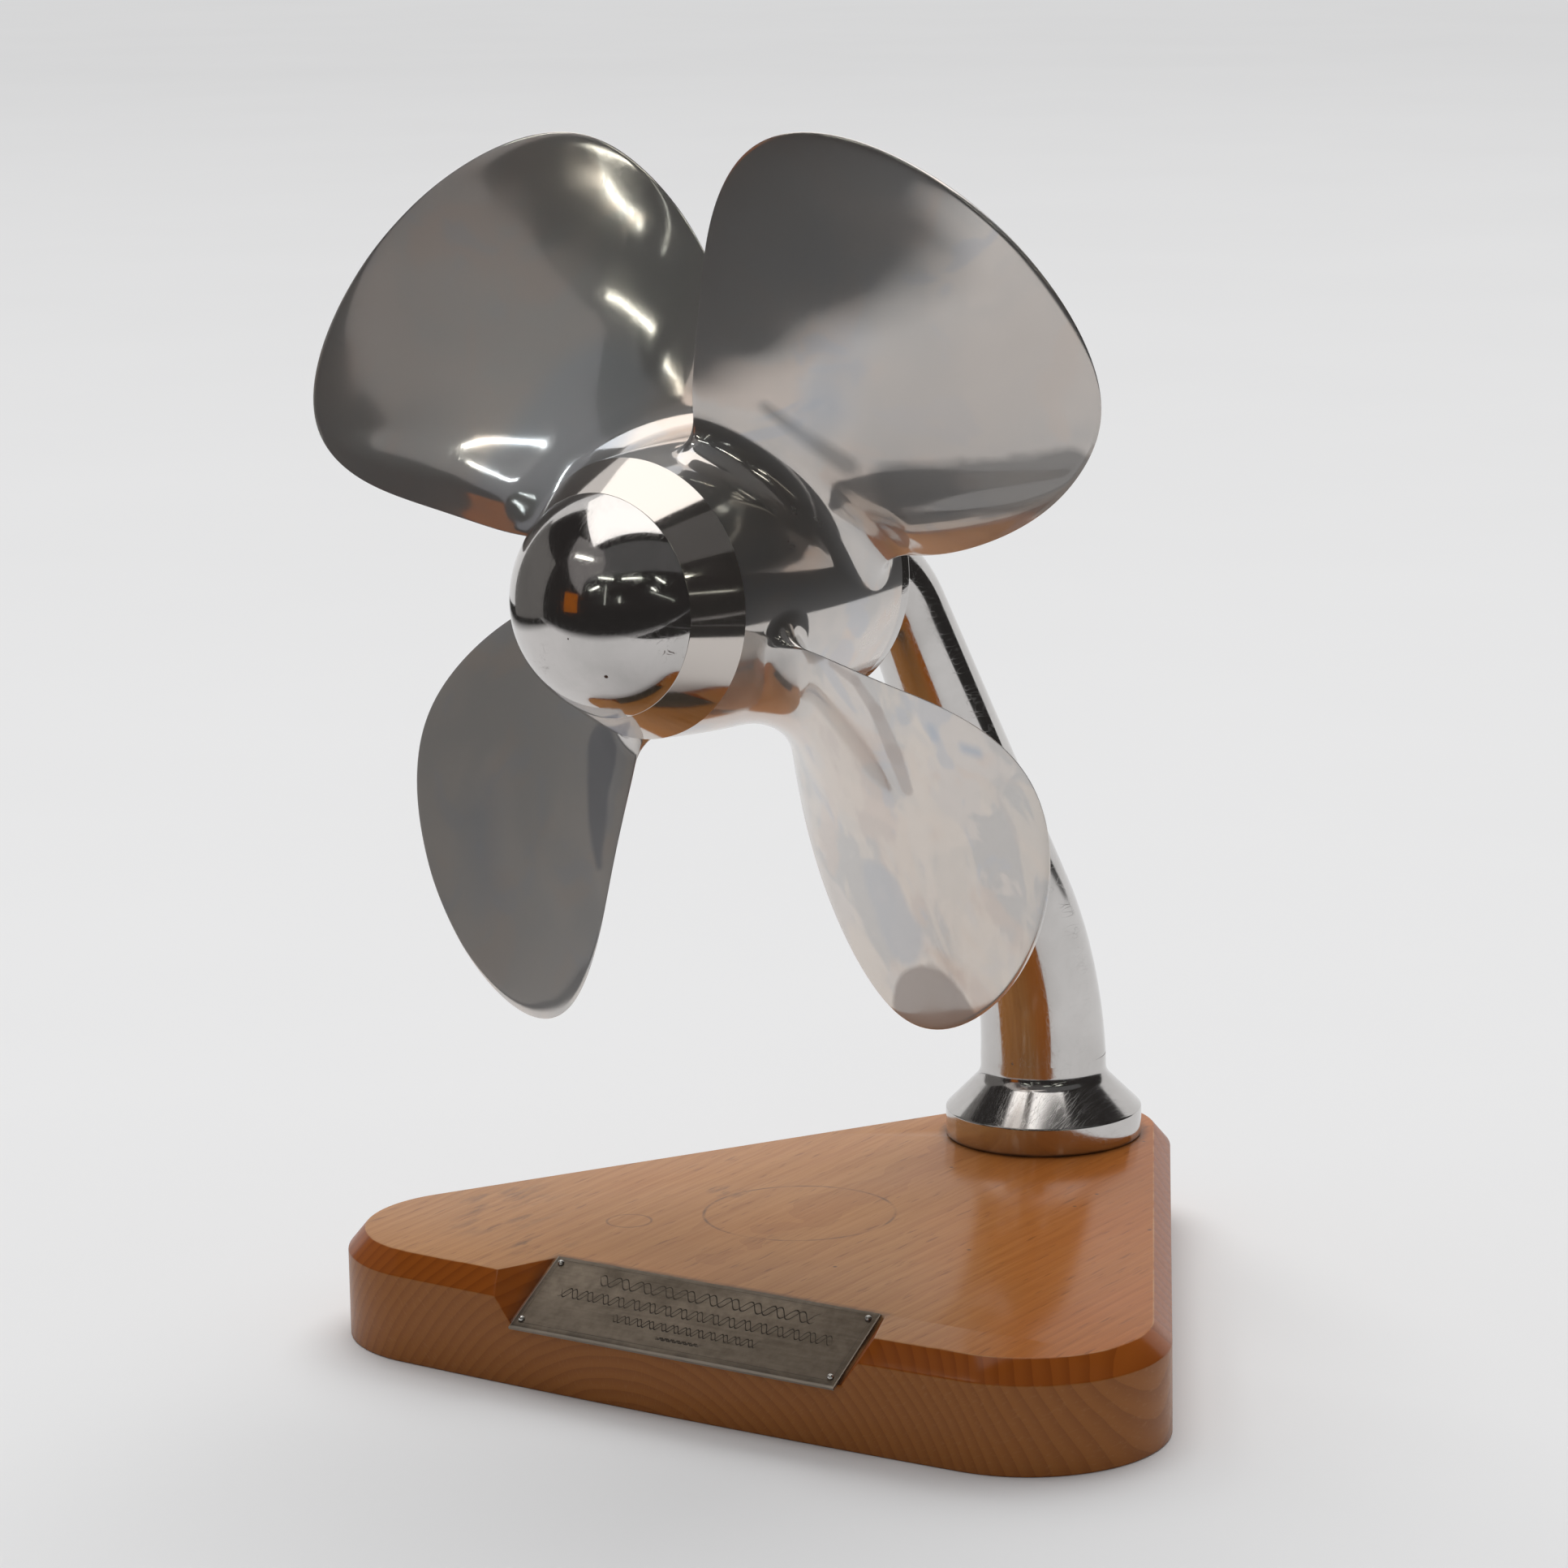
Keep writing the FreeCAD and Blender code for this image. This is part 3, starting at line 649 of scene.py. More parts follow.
def turned_foot():
    """The foot's rim, cone and the small hollow that runs up into the arm."""
    rim = BASE_T + FLANGE_RIM_H
    slope = math.radians(45)
    eighth = CONE_HOLLOW_R * math.sin(slope)
    cone_top_r = ARM_FOOT_R + CONE_HOLLOW_R - eighth
    cone_top_z = rim + FLANGE_R - cone_top_r
    corners = [(BASE_T, SPIGOT_R), (BASE_T, FLANGE_R), (rim, FLANGE_R), (cone_top_z, cone_top_r)]
    profile = eased(corners, 0.9, steps=5, closed=False)
    steps = 12
    for k in range(1, steps + 1):
        a = slope * (1 - k / steps)
        profile.append((cone_top_z + eighth - CONE_HOLLOW_R * math.sin(a),
                        ARM_FOOT_R + CONE_HOLLOW_R * (1 - math.cos(a))))
    profile += [(ARM_SEAT_Z, ARM_FOOT_R), (ARM_SEAT_Z, SPIGOT_R)]
    points, faces = lathe_solid(profile, segments=160)
    upright = points[:, [0, 2, 1]]
    return finished(piece("turned_foot", from_foot(upright), faces, "stand", "polished_metal",
                          "foot_flange"))


# ---- board
def tangent_points(inset):
    """For each side of the rounded triangle: start, end and outward direction."""
    centres = [Vector((-FRONT_HALF, FRONT_Y)), Vector((FRONT_HALF, FRONT_Y)), Vector((0, BACK_Y))]
    radii = [FRONT_CORNER_R - inset, FRONT_CORNER_R - inset, BACK_CORNER_R - inset]
    sides = []
    for i in range(3):
        j = (i + 1) % 3
        reach = centres[j] - centres[i]
        e = reach.normalized()
        s = (radii[i] - radii[j]) / reach.length
        n = Vector((e.y, -e.x)) * math.sqrt(1 - s * s) + e * s
        sides.append((centres[i] + n * radii[i], centres[j] + n * radii[j], n))
    return centres, radii, sides


def board_outline(inset):
    """Closed outline of the board, drawn inwards by inset; the same count for every inset."""
    centres, radii, sides = tangent_points(inset)
    out = []
    side_steps, corner_steps = 40, 36
    for i, (start, end, n) in enumerate(sides):
        for k in range(side_steps):
            t = k / side_steps
            bow = FRONT_BOW * 4 * t * (1 - t) if i == 0 else 0.0
            out.append(start.lerp(end, t) + n * bow)
        j = (i + 1) % 3
        first = math.atan2(n.y, n.x)
        turn = (math.atan2(sides[j][2].y, sides[j][2].x) - first) % (2 * math.pi)
        for k in range(corner_steps):
            a = first + turn * k / corner_steps
            out.append(centres[j] + Vector((math.cos(a), math.sin(a))) * radii[j])
    return out


def facet_wedge():
    """Cutter for the sloping plaque seat with its oblique ends."""
    slope = (BASE_T - FACET_LOW_Z) / (FACET_TOP_Y - FRONT_FACE_Y)
    low_y = FRONT_FACE_Y - 8
    over = 6
    high_z = BASE_T + over
    ends = ([], [])
    for y, z in ((FACET_TOP_Y + over / slope, high_z), (low_y, FACET_LOW_Z - 8 * slope), (low_y, high_z)):
        depth = z - (BASE_T - (FACET_TOP_Y - y) * slope)
        half = FACET_HALF - 1.0 + depth * 0.75
        ends[0].append((FACET_X - half, y, z))
        ends[1].append((FACET_X + half, y, z))
    return ends[0] + ends[1], [(0, 1, 2), (5, 4, 3), (0, 3, 4, 1), (1, 4, 5, 2), (2, 5, 3, 0)]


def hole(name, radius, low, high):
    """Cutter for an upright round hole under the arm's foot."""
    segments = 72
    points = []
    for z in (low, high):
        for k in range(segments):
            a = 2 * math.pi * k / segments
            points.append((radius * math.cos(a), radius * math.sin(a), z))
    return new_object(name, from_foot(points), strips(2, segments) + end_faces(2, segments))


def cut_away(obj, tools):
    for tool in tools:
        outward(tool)
        step = obj.modifiers.new("cut", "BOOLEAN")
        step.operation = "DIFFERENCE"
        step.solver = "EXACT"
        step.object = tool
    bake_modifiers(obj)
    for tool in tools:
        mesh = tool.data
        bpy.data.objects.remove(tool)
        bpy.data.meshes.remove(mesh)


def bake_modifiers(obj):
    """The object's modifiers become part of its mesh."""
    graph = bpy.context.evaluated_depsgraph_get()
    graph.update()
    final = bpy.data.meshes.new_from_object(obj.evaluated_get(graph))
    old = obj.data
    obj.modifiers.clear()
    obj.data = final
    bpy.data.meshes.remove(old)


def board():
    """The chamfered board with its plaque seat, stud hole and counterbore."""
    levels = [(0.5, 0.0), (0.12, 0.12), (0.0, 0.5), (0.0, BASE_T - CHAMFER_H), (CHAMFER_IN, BASE_T)]
    points = [(p.x, p.y, z) for inset, z in levels for p in board_outline(inset)]
    count = len(points) // len(levels)
    faces = strips(len(levels), count) + end_faces(len(levels), count)
    obj = outward(piece("wooden_board", from_board(points), faces, "stand", "beech", "base_block"))
    wedge, wedge_faces = facet_wedge()
    cut_away(obj, [new_object("facet_cut", from_board(wedge), wedge_faces),
                   hole("stud_cut", STUD_HOLE_R, -2, BASE_T + 2),
                   hole("counterbore_cut", COUNTERBORE_R, -2, COUNTERBORE_H)])
    bevel = obj.modifiers.new("worn_edges", "BEVEL")
    bevel.limit_method = "ANGLE"
    bevel.angle_limit = math.radians(24)
    bevel.width = 0.55 * MM
    bevel.segments = 3
    bevel.use_clamp_overlap = True
    bake_modifiers(obj)
    smooth_by_angle(obj, 24)
    return obj


# ---- plaque and pins
def on_facet(points):
    """Flat coordinates (across, up the slope, out) on the facet, to metres."""
    x, y, z = np.asarray(points, float).T
    c, s = math.cos(FACET_TILT), math.sin(FACET_TILT)
    return from_board(np.stack([x + FACET_X, y * c - z * s + FACET_TOP_Y, y * s + z * c + BASE_T], -1))


def plaque_plate():
    """Thin sheet with eased edges and the slight buckle of a hand-fixed plate."""
    across, up = 120, 36
    back, front = [], []
    for j in range(up + 1):
        for i in range(across + 1):
            x = -PLAQUE_W / 2 + PLAQUE_W * i / across
            y = -PLAQUE_H - PLAQUE_GAP + PLAQUE_H * j / up
            edge = min(x + PLAQUE_W / 2, PLAQUE_W / 2 - x, y + PLAQUE_H + PLAQUE_GAP, -PLAQUE_GAP - y)
            buckle = 0.10 * noise.noise(Vector((x / 22, y / 16, 3.0)))
            ease = 0.16 * max(0.0, 1 - edge / 0.9) ** 2
            back.append((x, y, 0.0))
            front.append((x, y, PLAQUE_T - 0.14 + buckle - ease))
    row = across + 1
    size = len(back)
    faces = []
    for j in range(up):
        for i in range(across):
            a = j * row + i
            faces.append((a, a + row, a + row + 1, a + 1))
            faces.append((size + a, size + a + 1, size + a + row + 1, size + a + row))
    border = [j * row + i for j, i in round_border(across, up)]
    for a, b in zip(border, border[1:] + border[:1]):
        faces.append((a, b, size + b, size + a))
    return finished(piece("plaque_plate", on_facet(back + front), faces, "stand", "tarnished_silver",
                          "plaque"), 40)


# ---- materials
class Wires:
    """Adds nodes to a tree; an input is given a number, a colour or another node's output."""

    def __init__(self, tree):
        self.tree = tree

    def feed(self, socket, value):
        if isinstance(value, bpy.types.NodeSocket):
            self.tree.links.new(value, socket)
        elif socket.type == "RGBA":
            socket.default_value = (*value, 1.0)
        else:
            socket.default_value = value

    def node(self, kind, inputs=None, **settings):
        made = self.tree.nodes.new("ShaderNode" + kind)
        for key, value in settings.items():
            setattr(made, key, value)
        for key, value in (inputs or {}).items():
            self.feed(made.inputs[key], value)
        return made

    def out(self, kind, inputs=None, **settings):
        """The first output of a new node."""
        return self.node(kind, inputs, **settings).outputs[0]

    def math(self, operation, a, b=0.0, clamp=False):
        return self.out("Math", {0: a, 1: b}, operation=operation, use_clamp=clamp)

    def times(self, a, b):
        return self.math("MULTIPLY", a, b)

    def plus(self, a, b):
        return self.math("ADD", a, b)

    def minus(self, a, b):
        return self.math("SUBTRACT", a, b)

    def most(self, a, b):
        return self.math("MAXIMUM", a, b)

    def size(self, a):
        return self.math("ABSOLUTE", a)

    def vector(self, operation, *inputs):
        """A sum with vectors whose result is a vector."""
        return self.out("VectorMath", dict(enumerate(inputs)), operation=operation)

    def number(self, operation, *inputs):
        """A sum with vectors whose result is a number."""
        return self.node("VectorMath", dict(enumerate(inputs)), operation=operation).outputs["Value"]

    def ramp(self, value, low, high, a=0.0, b=1.0):
        return self.out("MapRange", {"Value": value, "From Min": low, "From Max": high,
                                     "To Min": a, "To Max": b})


class Paint(Wires):
    """Wires one procedural material; the methods return an output socket."""

    def __init__(self, name):
        self.material = bpy.data.materials.new(name)
        self.material.use_nodes = True
        super().__init__(self.material.node_tree)
        self.shader = self.tree.nodes["Principled BSDF"]
        self.place = self.node("TexCoord").outputs["Object"]

    def set(self, **values):
        """Values of the shader's inputs, with _ for the spaces in their names."""
        for name, value in values.items():
            self.feed(self.shader.inputs[name.replace("_", " ")], value)

    def moved(self, turn=(0, 0, 0), scale=(1, 1, 1), shift=(0, 0, 0), of=None):
        return self.out("Mapping", {"Vector": of or self.place, "Location": shift,
                                    "Rotation": turn, "Scale": scale})

    def noise(self, at, scale, detail=4.0, roughness=0.55, distortion=0.0, output="Fac"):
        return self.node("TexNoise", {"Vector": at, "Scale": scale, "Detail": detail, "Roughness": roughness,
                                      "Distortion": distortion}).outputs[output]

    def specks(self, at, scale, border, middle):
        """1 in small round specks strewn about, 0 elsewhere."""
        return self.ramp(self.out("TexVoronoi", {"Vector": at, "Scale": scale}), border, middle)

    def mix(self, factor, a, b):
        return self.node("Mix", {0: factor, 6: a, 7: b}, data_type="RGBA").outputs[2]

    def layers(self, tone, *washes):
        """The tone under one wash of tint after another, each given as (how much, tint)."""
        for amount, tint in washes:
            tone = self.mix(amount, tone, tint)
        return tone

    def split(self, vector):
        return self.node("SeparateXYZ", {0: vector}).outputs[:3]

    def join(self, x, y, z):
        return self.out("CombineXYZ", {0: x, 1: y, 2: z})

    def away(self, centre_mm, of=None):
        """Distance in metres from a point given in mm."""
        return self.number("DISTANCE", of or self.place, [c * MM for c in centre_mm])

    def near(self, centre_mm, radius_mm, soft_mm, of=None):
        """1 inside a ball round a point, 0 outside, with a soft border."""
        return self.ramp(self.away(centre_mm, of), (radius_mm + soft_mm) * MM, (radius_mm - soft_mm) * MM)

    def circle(self, centre_mm, radius_mm, width_mm, of=None):
        """1 on a circle round a point, 0 off it."""
        return self.ramp(self.size(self.minus(self.away(centre_mm, of), radius_mm * MM)), width_mm * MM, 0.0)

    def stroke(self, start_mm, end_mm, start_r, end_r, soft_mm, of):
        """1 along a tapering stroke between two places, 0 outside."""
        along = (Vector(end_mm) - Vector(start_mm)) * MM
        reach = self.vector("SUBTRACT", of, [c * MM for c in start_mm])
        dot = self.number("DOT_PRODUCT", reach, along)
        t = self.math("DIVIDE", dot, along.length_squared, clamp=True)
        foot = self.out("VectorMath", {0: along, "Scale": t}, operation="SCALE")
        wide = self.plus(self.times(t, (end_r - start_r) * MM), start_r * MM)
        off = self.minus(self.number("DISTANCE", reach, foot), wide)
        return self.ramp(off, soft_mm * MM, -soft_mm * MM)

    def bump(self, height, distance_mm, strength=1.0, under=None):
        inputs = {"Height": height, "Distance": distance_mm * MM, "Strength": strength}
        if under is not None:
            inputs["Normal"] = under
        return self.out("Bump", inputs)


def scratches(p, count, scale, width):
    """Fine hairlines in several directions: 1 on a scratch, 0 elsewhere."""
    total = None
    for k in range(count):
        turn = (0.7 * k + 0.3, 1.1 * k + 0.2, 0.9 * k)
        at = p.moved(turn, (scale, scale * 0.045, scale * 0.3), (k * 3.1, k * 1.7, k * 0.9))
        line = p.ramp(p.size(p.minus(p.noise(at, 1.0, 2.0), 0.5)), width, 0.0)
        total = line if total is None else p.most(total, line)
    return total


def hub_spot(x, y, z):
    """Hub coordinates in mm to the frame's."""
    return (x + AXIS_X, y + SEAM_Y, z + AXIS_Z)


SLATE = (0.36, 0.41, 0.48)
INK = (0.10, 0.12, 0.18)
UMBER = (0.35, 0.295, 0.265)
BROWN = (0.24, 0.195, 0.17)
SOOT = (0.12, 0.115, 0.11)
TAN = (0.50, 0.445, 0.405)
ASH = (0.44, 0.45, 0.47)
FINE_STROKE_R = 3.5
# stains and painted reflections: two places (x, z) on the propeller's disc, a radius at each, border, tint,
# amount
STAINS_AND_PAINTED_REFLECTIONS = (
    # painted reflection: slate-blue zone on the upper-left blade beside the hub
    ((-40, 50), (-50, 26), 14, 17, 3.5, SLATE, 0.75),
    ((-29, -48), (-24, -78), 8, 2, 1.0, INK, 0.8),
    ((-86, -76), (-80, -94), 9, 7, 7.0, SLATE, 0.6),
    # painted reflection of the board: dark warm patch at the lower-right blade's tip
    ((66, -118), (70, -118), 17, 17, 0.8, BROWN, 0.9),
    ((54, -82), (57, -92), 9, 10, 1.5, ASH, 0.8),
    ((72, 50), (106, 66), 22, 22, 16.0, TAN, 0.7),
    ((58, 29), (108, 33), 7, 8, 1.5, SOOT, 0.85),
    ((31, 52), (47, 36), 1.2, 3.0, 1.5, SOOT, 0.7),
    ((55, 72), (47, 53), 6, 6, 4.0, SLATE, 0.3),
    ((47, 53), (37, 44), 5, 4, 3.0, SLATE, 0.3),
    # painted reflection: the dark leaf on the lower-right blade, drawn in four strokes
    ((58, -14), (66.6, -17.8), 1.0, 1.8, 0.5, UMBER, 0.7),
    ((66.6, -17.8), (71.9, -25.8), 1.8, 2.6, 0.5, UMBER, 0.7),
    ((71.9, -25.8), (74.5, -37.6), 2.6, 3.2, 0.5, UMBER, 0.7),
    ((74.5, -37.6), (75.7, -47), 3.2, 2.6, 0.5, UMBER, 0.7),
    ((91.5, -28), (92, -30), 1.5, 1.5, 1.2, SLATE, 0.8),
    ((102, -32), (107, -32.6), 1.4, 1.4, 1.2, SLATE, 0.8),
)


def stains_and_painted_reflections(p, tone, flat):
    """Stains and painted reflections at fixed places on the blades; the wide ones have wavy borders."""
    swirl = p.noise(flat, 45.0, 4.0, 0.5, output="Color")
    wavy = p.vector("MULTIPLY_ADD", swirl, (0.010, 0.0, 0.010), flat)
    wavy = p.moved(shift=(-0.005, 0, -0.005), of=wavy)
    for (x1, z1), (x2, z2), r1, r2, border, tint, amount in STAINS_AND_PAINTED_REFLECTIONS:
        at = flat if max(r1, r2) < FINE_STROKE_R else wavy
        spot = p.stroke((x1, 0, z1), (x2, 0, z2), r1, r2, border, at)
        tone = p.mix(p.times(spot, amount), tone, tint)
    return tone


def cast_metal():
    """Hand-polished casting: a tinted mirror under a thin haze, with patches of patina, pits and painted
    reflections.
    """
    p = Paint("polished_casting")
    x, y, z = p.split(p.place)
    on_disc = p.join(p.minus(x, AXIS_X * MM), 0.0, p.minus(z, AXIS_Z * MM))
    blade = p.ramp(p.number("LENGTH", on_disc), 0.043, 0.056)
    barrel = p.ramp(y, (SEAM_Y + BAND_END - 0.1) * MM, (SEAM_Y + BAND_END + 0.1) * MM)
    patch = p.noise(p.place, 26.0, 5.0, 0.6, 1.0)
    streak = p.noise(p.moved(scale=(1.0, 0.6, 0.45), shift=(3, 5, 1)), 60.0, 4.0, 0.6, 0.6)
    right = p.ramp(x, (AXIS_X + 8) * MM, (AXIS_X + 20) * MM)
    low = p.ramp(z, (AXIS_Z - 2) * MM, (AXIS_Z - 14) * MM)
    worst = p.times(p.times(right, low), blade)
    soft = p.ramp(patch, 0.40, 0.60)
    crisp = p.minus(p.ramp(patch, 0.485, 0.52), soft)
    crust = p.plus(p.times(worst, crisp), soft)
    cloud = p.noise(p.moved(shift=(4, 2, 7)), 26.0, 3.0, 0.55, 1.0)
    blue = p.noise(p.moved(shift=(1, 8, 3)), 42.0, 3.0, 0.55, 0.8)
    fine = p.noise(p.place, 160.0, 4.0, 0.6)
    pits = p.times(p.specks(p.place, 90.0, 0.034, 0.018), p.ramp(cloud, 0.55, 0.60))
    tone = p.layers((0.51, 0.49, 0.47),
                    (crust, (0.63, 0.575, 0.53)),
                    (p.ramp(cloud, 0.53, 0.58, 0.0, 0.6), (0.64, 0.525, 0.45)),
                    (p.ramp(blue, 0.58, 0.61, 0.0, 0.6), (0.46, 0.475, 0.51)),
                    (p.times(worst, p.ramp(streak, 0.50, 0.54, 0.0, 0.6)), (0.70, 0.62, 0.54)),
                    (p.ramp(fine, 0.45, 0.85, 0.0, 0.2), (0.42, 0.40, 0.38)))
    # stains and painted reflections on the blades, then dark pits
    tone = p.mix(pits, stains_and_painted_reflections(p, tone, on_disc), (0.10, 0.09, 0.08))
    marks = scratches(p, 4, 420.0, 0.008)
    polish = p.plus(p.ramp(patch, 0.3, 0.7, 0.045, 0.08), p.ramp(cloud, 0.50, 0.60, 0.0, 0.03))
    rough = p.plus(p.times(barrel, p.minus(polish, BAND_ROUGHNESS)), BAND_ROUGHNESS)
    haze = p.plus(p.times(barrel, 0.60), p.times(blade, 0.30))
    height = p.times(barrel, p.plus(p.times(marks, 0.35), pits))
    skin = p.bump(p.times(barrel, fine), 0.003, 0.5)
    p.set(Base_Color=p.mix(barrel, (0.62, 0.57, 0.53), tone), Metallic=1.0,
          Roughness=p.plus(rough, p.times(marks, 0.05)), Coat_Weight=p.plus(haze, 0.10),
          Coat_IOR=3.0, Coat_Roughness=0.52, Normal=p.bump(height, -0.004, 0.5, skin))
    return p.material


def mirror_metal():
    """The nose cap: mirror polish with fine scratches, dull spots, two pits and dirt by the seam."""
    p = Paint("mirror_polish")
    marks = scratches(p, 4, 620.0, 0.006)
    smear = p.noise(p.place, 70.0, 4.0, 0.6, 0.4)
    darkening = p.noise(p.place, 330.0, 5.0, 0.7, 1.5)
    pit = p.near(hub_spot(12.2, -13.5, -16.0), 0.55, 0.15)
    pit = p.most(pit, p.near(hub_spot(4.4, -19.5, -5.6), 0.22, 0.08))
    by_seam = p.times(p.near(hub_spot(27.2, -4.0, -8.6), 3.0, 3.0), p.ramp(darkening, 0.56, 0.64))
    faint = p.times(p.near(hub_spot(-6.9, -16.8, -13.2), 4.0, 3.0), p.ramp(darkening, 0.58, 0.70, 0.0, 0.5))
    stain = p.most(p.most(by_seam, faint), pit)
    clean = p.mix(p.ramp(smear, 0.4, 0.7), (0.60, 0.575, 0.56), (0.53, 0.51, 0.495))
    rough = p.plus(p.ramp(smear, 0.3, 0.8, 0.055, 0.10), p.times(marks, 0.08))
    p.set(Base_Color=p.mix(stain, clean, (0.06, 0.035, 0.025)), Metallic=1.0,
          Roughness=p.plus(rough, p.times(stain, 0.4)),
          Normal=p.bump(p.plus(marks, p.times(pit, 12.0)), -0.004, 0.4))
    return p.material


def polished_metal(name, dullness):
    """Arm, foot and closing plate: bright polish with dark specks and fine scratches."""
    p = Paint(name)
    marks = scratches(p, 3, 520.0, 0.007)
    smear = p.noise(p.place, 46.0, 4.0, 0.6, 0.3)
    specks = p.times(p.specks(p.place, 95.0, 0.06, 0.03), p.ramp(smear, 0.52, 0.62))
    clean = p.mix(p.ramp(smear, 0.35, 0.7), (0.62, 0.60, 0.585), (0.54, 0.52, 0.505))
    rough = p.plus(p.ramp(smear, 0.3, 0.8, dullness, dullness + 0.07), p.times(marks, 0.12))
    waves = p.bump(p.noise(p.place, 45.0, 1.0), 0.03, 0.4)
    p.set(Base_Color=p.mix(specks, clean, (0.12, 0.10, 0.09)), Metallic=1.0,
          Roughness=p.plus(rough, p.times(specks, 0.4)),
          Normal=p.bump(p.plus(marks, specks), -0.006, 0.5, waves))
    return p.material


BAND_ROUGHNESS = 0.07
PITH_X, PITH_Z = -12.0, -45.0
RINGS_PER_M = 300.0
# x, y, radius, border and depth of each smudge on the board
SMUDGES = ((-101, -143, 13, 9, 0.55), (-47, -103, 5, 3, 0.8), (-11, -138, 5, 4, 0.5),
           (-66, -176, 8, 6, 0.7), (-6, -85, 1.6, 1.0, 0.9), (-90, -160, 16, 8, 0.4))
# height, swing, period and half length of each engraved band
WAVE_BANDS = ((-6.8, 1.9, 7.4, 36), (-13.4, 1.7, 5.3, 45), (-19.4, 1.3, 4.1, 24), (-23.6, 0.4, 1.9, 7))


def board_place(p):
    """Coordinates of the board before its turn, in metres."""
    return p.moved((0, 0, -BASE_TURN), of=p.moved(shift=(-FOOT_X * MM, -FOOT_Y * MM, 0)))


def old_marks(p, at):
    """Ring stains, smudges and dirt on the board's top: 1 where dark."""
    broken = p.noise(at, 90.0, 5.0, 0.65)
    streak = p.noise(p.moved(scale=(260, 60, 260), of=at), 1.0, 4.0)
    large = p.times(p.circle((-17, -112, BASE_T), 28.0, 0.7, at), p.ramp(broken, 0.40, 0.58, 0.15, 0.75))
    small = p.times(p.circle((-55.6, -143.6, BASE_T), 6.5, 0.6, at), p.ramp(broken, 0.36, 0.55, 0.2, 0.6))
    total = p.most(large, small)
    for x, y, radius, soft, depth in SMUDGES:
        blot = p.near((x, y, BASE_T), radius, soft, at)
        total = p.most(total, p.times(blot, p.ramp(streak, 0.50, 0.64, 0.0, depth)))
    return p.most(total, p.times(p.specks(at, 55.0, 0.045, 0.02), 0.8))


def shade_and_grime(p, at):
    """Painted shade with dirt in a ring round the arm's foot, and a painted shadow along the plaque's edges:
    1 where darkest.
    """
    x, y, _ = p.split(at)
    flat = p.join(x, y, BASE_T * MM)
    edge = p.noise(at, 140.0, 4.0, 0.6)
    foot = p.ramp(p.away((0, 0, BASE_T), flat), (FLANGE_R + 2.6) * MM, FLANGE_R * MM, 0.0, 0.6)
    past_side = p.minus(p.size(p.minus(x, FACET_X * MM)), PLAQUE_W / 2 * MM)
    past_top = p.minus(y, (FACET_TOP_Y + PLAQUE_GAP) * MM)
    plate = p.ramp(p.most(past_side, past_top), 3.2 * MM, 0.2 * MM, 0.0, 0.85)
    return p.times(p.most(foot, plate), p.ramp(edge, 0.3, 0.6, 0.45, 1.0))


